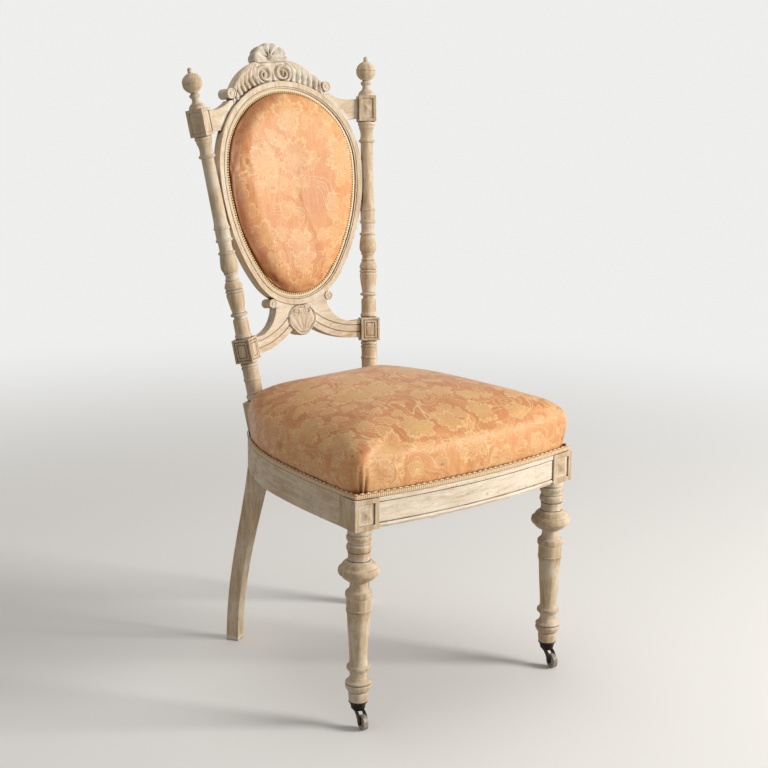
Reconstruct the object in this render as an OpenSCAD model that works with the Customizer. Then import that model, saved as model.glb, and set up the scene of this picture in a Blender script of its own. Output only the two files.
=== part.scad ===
// Balloon back chair in turned and carved wood, with a sprung seat, an oval back pad and two front casters.
// Millimetres, Z up, +Y to the back. The origin is under the middle of the chair, on the floor.

/* [Seat frame] */
// Height of the seat rails' top above the floor
rail_top = 387; // [370:1:400]
// Depth of the seat rails
rail_depth = 51; // [44:1:58]
// Thickness of the seat rails
rail_t = 23; // [20:0.5:26]
// Distance between the front legs' axes
leg_spacing = 421; // [400:1:440]
// Distance from the front legs' line back to the rear posts, at the rails' top
seat_d = 380; // [360:1:395]
// How far the front rail bows forward at its middle
front_bow = 15; // [8:0.5:22]
// Angle of the side rails' outline from the centre line at the front legs
side_front_angle = 1; // [0:0.5:3]
// Angle of the side rails' outline from the centre line at the rear posts
side_rear_angle = 35; // [28:0.5:40]
// How far the rear rail's back face lies behind the rear posts' axes
rear_set = 17; // [14:0.5:20]
// Height of the plain band along the top of the front rail
top_band_h = 7; // [5:0.5:9]
// Height of the bead along the bottom of the front rail
bead_h = 10; // [7:0.5:13]
// Depth of the front rail's flat field behind its bands
field_sink = 1.6; // [1:0.1:2.5]

/* [Front legs] */
// Width of the square block at the top of a front leg
leg_block_w = 45.5; // [42:0.5:50]
// Angle by which a front leg's block is turned outward
leg_toe = 5; // [0:0.5:8]
// Radius of the leg's widest turning, the flattened ball
leg_ball_r = 33.7; // [30:0.1:38]
// Height of the caster cup's upper edge above the floor
cup_top = 43.7; // [42:0.1:48]

/* [Rear posts] */
// Distance of a rear post's axis from the centre line at the rails' top
post_x = 119; // [112:1:126]
// Gap between the oval frame and the posts at the oval's widest level
post_gap = 0.8; // [0.5:0.1:3]
// Backward lean of the posts and the back
rake = 9.8; // [6:0.1:12]
// Angle by which the posts' blocks are turned towards each other
post_toe = 27.5; // [20:0.5:32]
// Width of the square block at the seat
seat_block_w = 36.5; // [34:0.5:40]
// Length of the seat block above the rails' top
seat_block_l = 62; // [56:1:68]
// Distance from the oval's lowest point down to the start of the lower square block
lower_block_drop = 82; // [78:1:86]
// Length of the lower square block
lower_block_l = 41; // [38:0.5:44]
// Width of the lower square block
lower_block_w = 33; // [31:0.5:36]
// Distance from the oval's widest level up to the start of the upper square block
upper_block_rise = 73; // [67:1:78]
// Length of the upper square block
upper_block_l = 46; // [42:0.5:50]
// Width of the upper square block
upper_block_w = 31; // [29:0.5:34]
// Largest radius of the post's turning
post_r = 15.8; // [14:0.1:16.3]
// Backward sweep of a rear leg's foot
leg_sweep = 59; // [45:1:70]
// Width of a rear leg's foot
foot_w = 22.5; // [20:0.5:26]

/* [Finials] */
// Height of a finial above its block
finial_h = 70; // [62:1:78]
// Radius of a finial's ball
finial_r = 17.4; // [15:0.1:19]
// Radius of the tenon under a finial
tenon_r = 6; // [5:0.1:7]
// Length of the tenon under a finial
tenon_l = 22; // [16:1:30]

/* [Back] */
// Radius of the back's hollow, seen from above
hollow_r = 690; // [620:5:800]
// Depth of the oval's face behind the posts' axes at the middle
hollow_set = 12.5; // [10:0.5:15]
// Largest width of the oval frame
oval_w = 306; // [296:1:314]
// Height of the oval's lowest point, up the back from the rails' top
oval_low = 213; // [206:1:220]
// Distance from the oval's widest level down to its lowest point
oval_drop = 238; // [230:1:246]
// Radius of the curve at the oval's toe, as a share of half the oval's width
oval_toe_share = 0.7286; // [0.68:0.01:0.78]
// Thickness of the oval frame
hoop_t = 19; // [16:0.5:22]
// Width of the oval frame's polished band
band_w = 12.5; // [10:0.5:14]
// Width of the rebate inside the band
rebate_w = 15; // [12:0.5:18]
// Depth of the rebate
rebate_d = 3.5; // [2.5:0.1:4.5]
// Thickness of the crest rail
crest_t = 19; // [16:0.5:22]
// Depth of the crest rail's face behind the oval's face
crest_set = 7; // [5:0.5:9]
// Backward lean of the crest's dome against the rest of the back
crest_lean = 9; // [4:0.5:12]
// Half the width of the crest's dome
dome_w = 100; // [94:1:106]
// Height of the crest's dome
dome_h = 70; // [64:1:74]
// Radius of the dome's rounded ends
dome_end_r = 40; // [36:1:46]
// Height of the crest rail's shoulders where they meet the posts
shoulder_h = 35; // [31:0.5:38]
// Radius of the scroll rolls at the ends of the dome
crest_roll_r = 9; // [8:0.5:10]
// Length of the scroll rolls at the ends of the dome
crest_roll_l = 29; // [26:0.5:32]
// Half the width of the shell
shell_w = 37; // [34:0.5:40]
// Height of the shell's top above its centre
shell_h = 26.5; // [24:0.5:29]
// Thickness of the shell
shell_t = 18.5; // [16:0.5:22]
// Radius of the two volutes
volute_r = 15.5; // [14:0.5:16.5]
// Height of the carving above the crest's face
carving_h = 4; // [3:0.5:5]

/* [Lower rail] */
// Radius of the lower rail's hollow, seen from above
lower_hollow_r = 420; // [400:5:460]
// Depth of the lower rail's face behind the posts' axes at the middle
lower_set = 15; // [14:0.5:17]
// Thickness of the lower rail
lower_t = 20; // [18:0.5:22]
// Height of the lower rail's arms where they meet the posts
arm_h = 31; // [28:0.5:33]
// Radius of the arms' lower edge
arm_lower_r = 163; // [150:1:175]
// Radius of the arms' upper edge
arm_upper_r = 52; // [48:0.5:55]
// Radius of the scroll rolls on the arms
arm_roll_r = 8; // [7:0.5:9]
// Length of the scroll rolls on the arms
arm_roll_l = 25; // [22:0.5:28]
// Width of the cartouche
cartouche_w = 61; // [56:1:64]
// Height of the cartouche
cartouche_h = 54; // [50:1:56]
// Height of the cartouche above the lower rail's face
cartouche_rise = 3; // [2:0.1:4]

/* [Upholstery] */
// Height of the gimp round the seat
gimp_h = 10; // [8:0.5:12]
// Thickness of the gimp
gimp_t = 2.5; // [2:0.1:3]
// Height of the seat cushion's rounded edge above the rails
cushion_edge_h = 77; // [66:1:84]
// Height of the seat cushion's crown above its edge
crown_h = 35; // [25:1:42]
// Radius of the seat cushion's front corners
cushion_corner_r = 22; // [16:1:30]
// Width of the gimp round the back pad
back_gimp_w = 9; // [8:0.5:10]
// Height of the back pad's crown above the oval's rebate
pad_h = 17; // [12:0.5:22]
// Thickness of the hessian sheets
hessian_t = 1.5; // [1.2:0.1:2]
// Thickness of the covering cloth on the back's rear
cover_t = 1.6; // [1.2:0.1:2]
// Thickness of the seat webbing
webbing_t = 1.6; // [1.4:0.1:2]
// Width of a strap of webbing
strap_w = 48; // [44:1:52]
// Radius of a seat spring at its ends
spring_r = 40; // [34:1:44]
// Radius of a seat spring at its waist
spring_waist_r = 27; // [22:1:30]
// Radius of the springs' wire
wire_r = 1.8; // [1.5:0.1:2.2]
// Number of turns in a seat spring
spring_turns = 5; // [4:1:6]

/* [Casters] */
// Radius of a caster wheel
wheel_r = 12.5; // [11:0.1:13]
// Width of a caster wheel
wheel_w = 9; // [8:0.1:10]
// Distance of a wheel's axle from its swivel axis
trail = 18; // [16:0.5:20]
// Radius of the swivel stem
stem_r = 4; // [3.5:0.1:4.5]
// Radius of the axle pin
axle_r = 2; // [1.8:0.1:2.4]
// Thickness of the horn's cheeks
cheek_t = 2.2; // [1.8:0.1:2.6]
// Direction in which the wheels trail at rest
trail_angle = -102; // [-180:1:180]

/* [Joinery] */
// Radius of the rails' dowels
dowel_r = 4.8; // [4:0.1:5]
// Length of a dowel on each side of its joint
dowel_l = 13; // [11:0.5:14]
// Radius of the corner blocks' screws
screw_r = 2.2; // [1.8:0.1:2.5]
// Clearance of dowels and screws in their holes
dowel_gap = 0.05; // [0.02:0.01:0.1]
// Clearance of the casters' turning parts, on the radius
turning_gap = 0.05; // [0.03:0.01:0.1]
// Gap between soft pieces and what lies beside them
soft_gap = 0.3; // [0.25:0.05:0.5]

/* [Hidden] */
$fn = 180;

wood = "#cdb896";
wood_deep = "#c0a983";
satin = "#d98a52";
braid = "#d9b27a";
cloth = "#b79d72";
iron = "#3b3733";
steel = "#b9b6b0";

// Overrun of a cut past the face that it opens
over = 1;
// Length that is safely longer than the chair in any direction
far = 4 * seat_d;

rail_bottom = rail_top - rail_depth;
rail_mid = rail_top - rail_depth / 2;
leg_x = leg_spacing / 2;

function backwards(rows) = [for (i = [len(rows) - 1 : -1 : 0]) rows[i]];

// A point (x, y) turned about Z by an angle a
function turned_xy(p, a) = [p[0] * cos(a) - p[1] * sin(a), p[0] * sin(a) + p[1] * cos(a)];

// The oval stands on its toe. The posts lean out so that they pass its sides with a small gap.
oval_r = oval_w / 2;
oval_mid = oval_low + oval_drop;
splay = atan((oval_r + post_gap + post_r - post_x) / oval_mid);
lower_block_at = oval_low - lower_block_drop;
upper_block_at = oval_mid + upper_block_rise;

// Corners of the right leg's block and of the right post's seat block, seen from above
leg_rear_corner = [leg_x, 0] + turned_xy([leg_block_w / 2, leg_block_w / 2], leg_toe);
leg_inner_corner = [leg_x, 0] + turned_xy([-leg_block_w / 2, -leg_block_w / 2], leg_toe);
post_outer_corner = [post_x, seat_d] + turned_xy([seat_block_w / 2, seat_block_w / 2], -post_toe);

// Front outline of the seat: an arc set back a little from the blocks' faces
block_proud = 0.03 * leg_block_w;
front_edge_y = leg_inner_corner[1] + block_proud;
front_r = (pow(leg_inner_corner[0], 2) + pow(front_bow, 2)) / (2 * front_bow);
front_mid_y = front_edge_y - front_bow;
front_centre_y = front_mid_y + front_r;
front_end_angle = asin(leg_inner_corner[0] / front_r);
front_turn = 1.2 * front_end_angle;
rear_y = seat_d + rear_set;

// Side outline of the seat: two arcs that meet smoothly, from the front leg to the rear post
side_a = leg_rear_corner;
side_b = post_outer_corner + [seat_block_w / 10, 0];
side_ta = [-sin(side_front_angle), cos(side_front_angle)];
side_tb = [-sin(side_rear_angle), cos(side_rear_angle)];
side_v = side_b - side_a;
side_qa = 2 * (1 - side_ta * side_tb);
side_qb = 2 * (side_v * (side_ta + side_tb));
side_d = (sqrt(pow(side_qb, 2) + 4 * side_qa * (side_v * side_v)) - side_qb) / (2 * side_qa);
side_j = (side_a + side_ta * side_d + side_b - side_tb * side_d) / 2;
side_tj = (side_b - side_tb * side_d) - (side_a + side_ta * side_d);
side_j_angle = atan2(-side_tj[0], side_tj[1]);
side_r1 = side_d / tan((side_j_angle - side_front_angle) / 2);
side_r2 = side_d / tan((side_rear_angle - side_j_angle) / 2);
side_n = [cos(side_j_angle), sin(side_j_angle)];
side_c1 = side_j - side_n * side_r1;
side_c2 = side_j - side_n * side_r2;

// The oval: half circle above, long arcs at the sides, small arc at the toe, all tangent
oval_toe_r = oval_toe_share * oval_r;
oval_side_r = (pow(oval_r, 2) + pow(oval_drop, 2) - 2 * oval_toe_r * oval_drop) / (2 * (oval_r - oval_toe_r));
oval_side_x = oval_side_r - oval_r;
oval_toe_v = oval_low + oval_toe_r;
oval_toe_angle = atan2(oval_mid - oval_toe_v, oval_side_x);
hollow_y = hollow_set - hollow_r;
lower_hollow_y = lower_set - lower_hollow_r;
wood_w = band_w + rebate_w;

// Middles of the posts' blocks, seen square to the back
upper_mid = upper_block_at + upper_block_l / 2;
lower_mid = lower_block_at + lower_block_l / 2;
upper_v = upper_mid * cos(splay);
upper_u = post_x + upper_mid * sin(splay);
lower_v = lower_mid * cos(splay);
lower_u = post_x + lower_mid * sin(splay);

// The crest's dome stands on the line where it leans back: a flat arc between two rounded ends
dome_sink_share = 0.176;
dome_v = oval_mid + oval_r * (1 - dome_sink_share);
dome_k = (pow(dome_w - dome_end_r, 2) - pow(dome_h - dome_end_r, 2)) / (2 * (dome_h - dome_end_r));
crest_face_y = hollow_set + crest_set;
shell_v = dome_v + dome_h;
shell_lobes = 7;
shell_step = 180 / (shell_lobes - 1);
shell_lobe_r = 0.23 * shell_w;
volute_v = dome_v + 0.62 * dome_h;
shoulder_top = upper_v + 0.54 * shoulder_h;
shoulder_low = shoulder_top - shoulder_h;

// The lower rail's arms lie within the height of the lower blocks
arm_low = lower_v - 0.39 * arm_h;
arm_top = arm_low + arm_h;
cartouche_v = oval_low - 0.52 * cartouche_h;

// A point (y, v) of the raked back, and of the crest that leans further, as (y, z) of the seat's frame
function raked(p) = [
    seat_d + p[0] * cos(rake) + p[1] * sin(rake),
    rail_top + p[1] * cos(rake) - p[0] * sin(rake)
];
function leaned(p) = [
    crest_face_y + (p[0] - crest_face_y) * cos(crest_lean) + (p[1] - dome_v) * sin(crest_lean),
    dome_v + (p[1] - dome_v) * cos(crest_lean) - (p[0] - crest_face_y) * sin(crest_lean)
];

// The chair is moved along Y so that the middle of its length is over the origin
gimp_proud = 0.2 * gimp_t;
cushion_inset = gimp_t - gimp_proud + soft_gap;
edge_inset_shares = [0, -0.28, -0.52, -0.58, -0.4, 0, 0.55];
edge_round = 0.17 * cushion_edge_h;
shell_back = raked(leaned([crest_face_y + 0.9 * shell_t, shell_v + shell_h]));
front_reach = -edge_round * min(edge_inset_shares) - cushion_inset - front_mid_y;
shift_y = (front_reach - shell_back[0]) / 2;

// Heights of the front leg's parts
cup_bottom = cup_top - 0.36 * leg_ball_r;
horn_top = cup_bottom - soft_gap;
stem_top = cup_top + 0.42 * leg_ball_r;

// Turnings from the bottom up. Each row holds parts of the length, the radius at its start and at
// its end as shares of the largest radius, and how far it swells out (or in, when negative).
leg_turning_shares = [
    [2, .44, .44, 0], [14, .44, .46, .015], [1, .42, .42, 0], [6.5, .47, .60, .02], [6, .60, .60, .025],
    [1.2, .56, .56, 0], [4, .59, .59, .03], [6, .57, .44, -.02], [11, .43, .43, -.03], [2.5, .46, .48, 0],
    [7.5, .52, .52, .05], [10.3, .48, .418, -.015],
    [77, .418, .555, .008], [4.5, .555, .60, 0], [4.4, .57, .57, .04], [18, .588, .588, 0],
    [11.5, .59, .59, .06], [2.5, .54, .50, 0], [13.5, .48, .44, -.03], [1.5, .48, .48, 0],
    [9, .54, .85, .06], [15, .85, .85, .15], [10, .85, .57, .06], [1.2, .50, .50, 0], [12.5, .543, .543, -.02],
    [1.5, .50, .50, 0], [12, .53, .53, .075], [1.5, .52, .52, 0], [4, .545, .545, 0],
    [9.5, .55, .55, .06], [2, .53, .53, 0], [9.3, .56, .58, -.015]
];
low_turning_shares = [
    [3, .89, .89, 0], [8, .93, .93, .10], [2, .87, .87, 0], [21, .88, .88, 0], [6, .86, .86, .09],
    [14, .88, .88, 0], [4.5, .87, .87, .08], [1.5, .84, .84, 0], [5.5, .87, .87, .08], [2, .86, .86, 0]
];
high_turning_shares = [
    [1, .86, .86, 0], [7, .85, .85, .10], [22.6, .84, .83, -.01], [3, .83, .78, 0], [5.4, .72, .72, -.09],
    [5, .80, .80, .15], [4.6, .71, .74, 0], [28, .74, .98, .02], [3, .98, .88, 0], [5, .87, .87, .13],
    [1, .84, .84, 0], [4, .90, 1, .01], [10.5, 1, .71, .04], [3.5, .69, .69, .09], [7, .69, .69, -.03],
    [4, .69, .69, .09], [8.5, .76, .97, .04], [22, .97, .80, .03], [5, .80, .80, .14], [16, .75, .75, -.03],
    [6, .77, .77, .15], [15, .80, .80, 0], [5, .77, .77, .13], [9, .82, .74, 0], [107, .74, .685, 0],
    [6.5, .72, .72, .19], [7.5, .74, .69, -.02], [12, .68, .86, -.04], [3, .86, .86, 0], [8.4, .86, .86, .11]
];
finial_turning_shares = [
    [9.6, .83, .57, .07], [6, .52, .36, -.03], [4.5, .36, .40, 0], [6.5, .46, .46, .08], [3, .40, .34, 0]
];
finial_ball_share = 0.63;

// Number of steps across a swelling, and the length of one step on longer ones
swell_steps = 6;
swell_step_share = 0.14;

function before(rows, k) = k <= 0 ? 0 : before(rows, k - 1) + rows[k - 1][0];
function swell(row, t) = row[3] * (row[1] == row[2] ? sqrt(max(0, 4 * t * (1 - t))) : sin(180 * t));
function row_steps(row, len, r) = row[3] == 0 ? 1 : max(swell_steps, ceil(len / (swell_step_share * r)));

// Points of one row, leaving out its first where the row before ends there
function row_points(rows, k, z, len, r) =
    let (row = rows[k], n = row_steps(row, len, r))
    let (joined = k > 0 && abs(rows[max(0, k - 1)][2] - row[1]) < 0.001)
    [for (i = [(joined ? 1 : 0) : n])
        [r * (row[1] + (row[2] - row[1]) * i / n + swell(row, i / n)), z + len * i / n]];

function turned_points(rows, len, r) =
    let (unit = len / before(rows, len(rows)))
    [for (k = [0 : len(rows) - 1])
        for (p = row_points(rows, k, unit * before(rows, k), unit * rows[k][0], r)) p];

// A turning that stands on z = 0
module turning(rows, l, r) {
    rotate_extrude() polygon(concat([[0, 0]], turned_points(rows, l, r), [[0, l]]));
}

// Closed triangle mesh from rings of equal length, with a point at each end
module loft(rings, first, last) {
    n = len(rings[0]);
    m = len(rings);
    points = concat([first], [for (ring = rings) for (p = ring) p], [last]);
    polyhedron(points = points, faces = concat(
        [for (i = [0 : n - 1]) [0, 1 + i, 1 + (i + 1) % n]],
        [for (k = [0 : m - 2]) for (i = [0 : n - 1])
            [1 + k * n + i, 1 + (k + 1) * n + i, 1 + k * n + (i + 1) % n]],
        [for (k = [0 : m - 2]) for (i = [0 : n - 1])
            [1 + k * n + (i + 1) % n, 1 + (k + 1) * n + i, 1 + (k + 1) * n + (i + 1) % n]],
        [for (i = [0 : n - 1]) [1 + m * n, 1 + (m - 1) * n + (i + 1) % n, 1 + (m - 1) * n + i]]
    ));
}

// Places
module placed() {
    translate([0, shift_y, 0]) children();
}
module at_leg(side) {
    placed() translate([side * leg_x, 0, 0]) children();
}
module at_back() {
    placed() translate([0, seat_d, rail_top]) rotate([-rake, 0, 0]) children();
}
module at_crest() {
    at_back() translate([0, crest_face_y, dome_v]) rotate([-crest_lean, 0, 0])
        translate([0, -crest_face_y, -dome_v]) children();
}
module at_post(side) {
    at_back() translate([side * post_x, 0, 0]) rotate([0, side * splay, 0]) children();
}
module toed(side) {
    rotate([0, 0, -side * post_toe]) children();
}
module mirrored(side) {
    mirror([side < 0 ? 1 : 0, 0, 0]) children();
}

// Flat outline of the seat, a distance d inside its edge
module side_region(d) {
    intersection() {
        translate(side_c1) circle(r = side_r1 - d);
        translate(side_j) rotate(side_j_angle) translate([-far, -2 * far]) square([2 * far, 2 * far]);
    }
    intersection() {
        translate(side_c2) circle(r = side_r2 - d);
        translate(side_j) rotate(side_j_angle) translate([-far, 0]) square([2 * far, 2 * far]);
    }
}
module seat_outline(d) {
    intersection() {
        translate([0, front_centre_y]) circle(r = front_r - d);
        side_region(d);
        mirror([1, 0]) side_region(d);
        translate([-far, rear_y - d - 2 * far]) square([2 * far, 2 * far]);
    }
}

// Half width of the seat at a depth y, a distance d inside its edge
function seat_x(y, d) =
    y < side_j[1] - d * side_n[1]
    ? side_c1[0] + sqrt(pow(side_r1 - d, 2) - pow(y - side_c1[1], 2))
    : side_c2[0] + sqrt(pow(side_r2 - d, 2) - pow(y - side_c2[1], 2));
function seat_front(x, d) = front_centre_y - sqrt(pow(front_r - d, 2) - x * x);
function corner_y(d, n) = n == 0 ? front_edge_y : seat_front(seat_x(corner_y(d, n - 1), d), d);

// Points round the seat, a distance d inside its edge, its front corners rounded by a reach c
front_steps = 7;
corner_steps = 5;
side_steps = 13;
rear_steps = 3;
function bend(a, b, c, t) = a * pow(1 - t, 2) + b * 2 * t * (1 - t) + c * t * t;
function half_seat(d, c) =
    let (y = corner_y(d, 4), x = seat_x(y, d), end = rear_y - d)
    let (p = [x - c, seat_front(x - c, d)], q = [seat_x(y + c, d), y + c])
    concat(
        [for (i = [0 : front_steps - 1]) [p[0] * i / front_steps, seat_front(p[0] * i / front_steps, d)]],
        [for (i = [0 : corner_steps - 1]) bend(p, [x, y], q, i / corner_steps)],
        [for (i = [0 : side_steps - 1]) let (s = q[1] + (end - q[1]) * i / side_steps) [seat_x(s, d), s]],
        [for (i = [0 : rear_steps]) [seat_x(end, d) * (1 - i / rear_steps), end]]
    );
function seat_ring(d, c) =
    let (h = half_seat(d, c), n = len(h))
    concat(h, [for (i = [n - 2 : -1 : 1]) [-h[i][0], h[i][1]]]);

// Points round the oval, a distance d inside its edge, with a number of steps to each coarse one
head_steps = 10;
flank_steps = 8;
toe_steps = 6;
fine = 2;
function half_oval(d, n) = concat(
    [for (i = [0 : n * head_steps - 1]) let (a = 90 - 90 * i / (n * head_steps))
        [(oval_r - d) * cos(a), oval_mid + (oval_r - d) * sin(a)]],
    [for (i = [0 : n * flank_steps - 1]) let (a = -oval_toe_angle * i / (n * flank_steps))
        [(oval_side_r - d) * cos(a) - oval_side_x, oval_mid + (oval_side_r - d) * sin(a)]],
    [for (i = [0 : n * toe_steps - 1]) let (a = -oval_toe_angle - (90 - oval_toe_angle) * i / (n * toe_steps))
        [(oval_toe_r - d) * cos(a), oval_toe_v + (oval_toe_r - d) * sin(a)]],
    [[0, oval_toe_v - oval_toe_r + d]]
);
function across(points) = [for (p = points) [-p[0], p[1]]];
function after_first(points) = [for (i = [1 : len(points) - 1]) points[i]];
function before_last(points) = [for (i = [0 : len(points) - 2]) points[i]];
function oval_ring(d, n) = let (h = half_oval(d, n)) concat(h, backwards(across(before_last(after_first(h)))));

// A flat outline in the back's plane made into a plate that follows the hollow, from a depth a to b
module hollow_plate(a, b, r = hollow_r, centre = hollow_y) {
    intersection() {
        translate([0, centre, -far / 4]) difference() {
            cylinder(r = r + b, h = far);
            translate([0, 0, -over]) cylinder(r = r + a, h = far + 2 * over);
        }
        translate([0, oval_w / 2, 0]) rotate([90, 0, 0]) linear_extrude(oval_w) children();
    }
}
module lower_plate(a, b) {
    hollow_plate(a, b, lower_hollow_r, lower_hollow_y) children();
}
module half_plane(side) {
    translate([side < 0 ? -far : 0, -far]) square([far, 2 * far]);
}

// An oval sheet a distance d inside the oval's edge, and the half on one side of the centre line of a
// band between two such distances
module oval_sheet(a, b, d) {
    hollow_plate(a, b) polygon(oval_ring(d, fine));
}
module half_oval_band(side, a, b, outer, inner) {
    hollow_plate(a, b) mirror([side < 0 ? 1 : 0, 0])
        polygon(concat(half_oval(outer, fine), backwards(half_oval(inner, fine))));
}

// The whole band, as a strip whose two ends meet at the toe with a small gap between them
function half_strip(d) =
    let (h = half_oval(d, fine), n = len(h))
    concat(before_last(h), [[soft_gap / 2, h[n - 1][1]]]);
module oval_strip(a, b, outer, inner) {
    hollow_plate(a, b) polygon(concat(
        backwards(half_strip(outer)), after_first(across(half_strip(outer))),
        backwards(across(half_strip(inner))), after_first(half_strip(inner))
    ));
}

// A shallow four-sided pyramid on z = 0
module pyramid(w, h) {
    intersection_for (a = [0, 90]) rotate([0, 0, a])
        translate([-w, 0, 0]) rotate([90, 0, 90]) linear_extrude(2 * w)
            polygon([[-w / 2, 0], [w / 2, 0], [0, h]]);
}

// A square block along z with a sunk panel and a raised pyramid on the sides at the given angles
panel_share = 0.66;
panel_sink_share = 0.055;
pyramid_share = 0.46;
module panel_block(w, h, angles) {
    sink = panel_sink_share * w;
    rim = (1 - panel_share) / 2 * w;
    difference() {
        translate([-w / 2, -w / 2, 0]) cube([w, w, h]);
        for (a = angles) rotate([0, 0, a]) translate([0, -w / 2, h / 2])
            cube([w - 2 * rim, 2 * sink, h - 2 * rim], center = true);
    }
    for (a = angles) rotate([0, 0, a]) translate([0, -w / 2 + sink, h / 2]) rotate([90, 0, 0])
        pyramid(pyramid_share * w, 1.2 * sink);
}

// A square block along z with cut square frames on the sides at the given angles
frame_shares = [0.78, 0.48];
groove_share = 0.04;
module framed_block(w, h, angles, frames) {
    groove = groove_share * w;
    difference() {
        translate([-w / 2, -w / 2, 0]) cube([w, w, h]);
        for (a = angles) rotate([0, 0, a]) translate([0, -w / 2, h / 2])
            for (i = [0 : frames - 1]) let (cut = w * (1 - frame_shares[i])) difference() {
                cube([w - cut, 2 * groove, h - cut], center = true);
                cube([w - cut - 2 * groove, 3 * groove, h - cut - 2 * groove], center = true);
            }
    }
}

// Rear leg below the seat: swept back and tapered, seen from its side and from its front
leg_profile_steps = 22;
sweep_power_share = 1.45;
taper_power_share = 2.5;
function leg_t(z) = (rail_top - z) / rail_top;
function leg_back(t) = leg_sweep * pow(sin(90 * max(0, t)), sweep_power_share);
function leg_half(t) = (foot_w + (seat_block_w - foot_w) * pow(1 - max(0, t), taper_power_share)) / 2;
module rear_leg(side) {
    zs = [for (i = [0 : leg_profile_steps]) rail_top * i / leg_profile_steps];
    placed() translate([side * post_x, seat_d, 0]) toed(side) intersection() {
        translate([-seat_block_w, 0, 0]) rotate([90, 0, 90]) linear_extrude(2 * seat_block_w) polygon(concat(
            [for (z = zs) [leg_back(leg_t(z)) - leg_half(leg_t(z)), z]],
            [for (z = backwards(zs)) [leg_back(leg_t(z)) + leg_half(leg_t(z)), z]]
        ));
        translate([0, 2 * leg_sweep, 0]) rotate([90, 0, 0]) linear_extrude(4 * leg_sweep) polygon(concat(
            [for (z = zs) [-leg_half(leg_t(z)), z]],
            [for (z = backwards(zs)) [leg_half(leg_t(z)), z]]
        ));
    }
}
// The seat block starts a little below the rails' top, where the leg runs into it
seat_block_under = 0.25 * seat_block_w;
module seat_block(side, gap = 0) {
    w = seat_block_w + 2 * gap;
    at_post(side) toed(side) translate([-w / 2, -w / 2, -seat_block_under])
        cube([w, w, seat_block_l + seat_block_under + gap]);
}
module post_foot(side) {
    rear_leg(side);
    seat_block(side);
}

module rear_post(side) {
    difference() {
        union() {
            post_foot(side);
            at_post(side) {
                translate([0, 0, seat_block_l])
                    turning(low_turning_shares, lower_block_at - seat_block_l, post_r);
                translate([0, 0, lower_block_at]) toed(side)
                    framed_block(lower_block_w, lower_block_l, [0, 90, -90], 2);
                translate([0, 0, lower_block_at + lower_block_l])
                    turning(high_turning_shares, upper_block_at - lower_block_at - lower_block_l, post_r);
                translate([0, 0, upper_block_at]) toed(side)
                    panel_block(upper_block_w, upper_block_l, [0, side * 90]);
            }
        }
        at_post(side) translate([0, 0, upper_block_at + upper_block_l - tenon_l])
            cylinder(r = tenon_r, h = tenon_l + over);
        mirrored(side) rail_joints(dowel_r + dowel_gap, dowel_l + over);
        mirrored(side) back_joints(dowel_r + dowel_gap, dowel_l + over);
        corner_screw_set(side, dowel_gap);
    }
}
module left_rear_post() color(wood) rear_post(-1);
module right_rear_post() color(wood) rear_post(1);

// Finial: a domed foot, a necked stem with a collar, and a ball with a ring and a button
module finial(side) {
    foot_l = (1 - finial_ball_share) * finial_h + 0.12 * finial_r;
    ball_z = finial_h * 0.626;
    button_r = 0.23 * finial_r;
    at_post(side) translate([0, 0, upper_block_at + upper_block_l]) {
        translate([0, 0, -tenon_l + over]) cylinder(r = tenon_r, h = tenon_l);
        turning(finial_turning_shares, foot_l, finial_r);
        difference() {
            translate([0, 0, ball_z]) sphere(r = finial_r);
            translate([0, 0, ball_z]) rotate_extrude() translate([finial_r, 0]) circle(r = 0.05 * finial_r);
        }
        translate([0, 0, ball_z + 0.9 * finial_r])
            cylinder(r = button_r, h = finial_h - ball_z - 0.9 * finial_r - button_r);
        translate([0, 0, finial_h - button_r]) sphere(r = button_r);
    }
}
module left_finial() color(wood_deep) finial(-1);
module right_finial() color(wood_deep) finial(1);

// Outlines of the crest, seen square to its face
module dome_outline(d = 0) {
    w = dome_w - dome_end_r;
    intersection() {
        union() {
            for (s = [-1, 1]) translate([s * w, dome_v]) circle(r = dome_end_r - d);
            intersection() {
                translate([0, dome_v - dome_k]) circle(r = dome_h + dome_k - d);
                polygon([[0, dome_v - dome_k], [3 * w, dome_v + 2 * dome_k], [-3 * w, dome_v + 2 * dome_k]]);
            }
        }
        translate([-far, dome_v - over]) square([2 * far, far]);
    }
}
module shoulder_outline() {
    scoop_r = 2 * shoulder_h;
    difference() {
        translate([-upper_u, shoulder_low]) square([2 * upper_u, dome_v - shoulder_low]);
        for (s = [-1, 1]) {
            translate([s * (upper_u - 0.86 * shoulder_h), shoulder_top + scoop_r]) circle(r = scoop_r);
            translate([s * upper_u - (s > 0 ? 0.86 * shoulder_h : 0), shoulder_top])
                square([0.86 * shoulder_h, far]);
        }
    }
}
module shell_outline(d = 0) {
    lobe_u = shell_w - shell_lobe_r;
    lobe_v = shell_h - shell_lobe_r;
    for (a = [0 : shell_step : 180]) translate([lobe_u * cos(a), shell_v + lobe_v * sin(a)])
        circle(r = shell_lobe_r - d);
    polygon([for (a = [0 : shell_step : 180]) [lobe_u * cos(a), shell_v + lobe_v * sin(a)]]);
    translate([-lobe_u, shell_v - shell_lobe_r + d]) square([2 * lobe_u, shell_lobe_r - d + over]);
}
// A scroll end: a roll with a ring sunk in each of its ends
module roll(r, l) {
    rotate([90, 0, 0]) difference() {
        cylinder(r = r, h = l, center = true);
        for (s = [-1, 1]) translate([0, 0, s * l / 2]) difference() {
            cylinder(r = 0.72 * r, h = 0.16 * r, center = true);
            cylinder(r = 0.34 * r, h = 0.2 * r, center = true);
        }
    }
}
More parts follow.
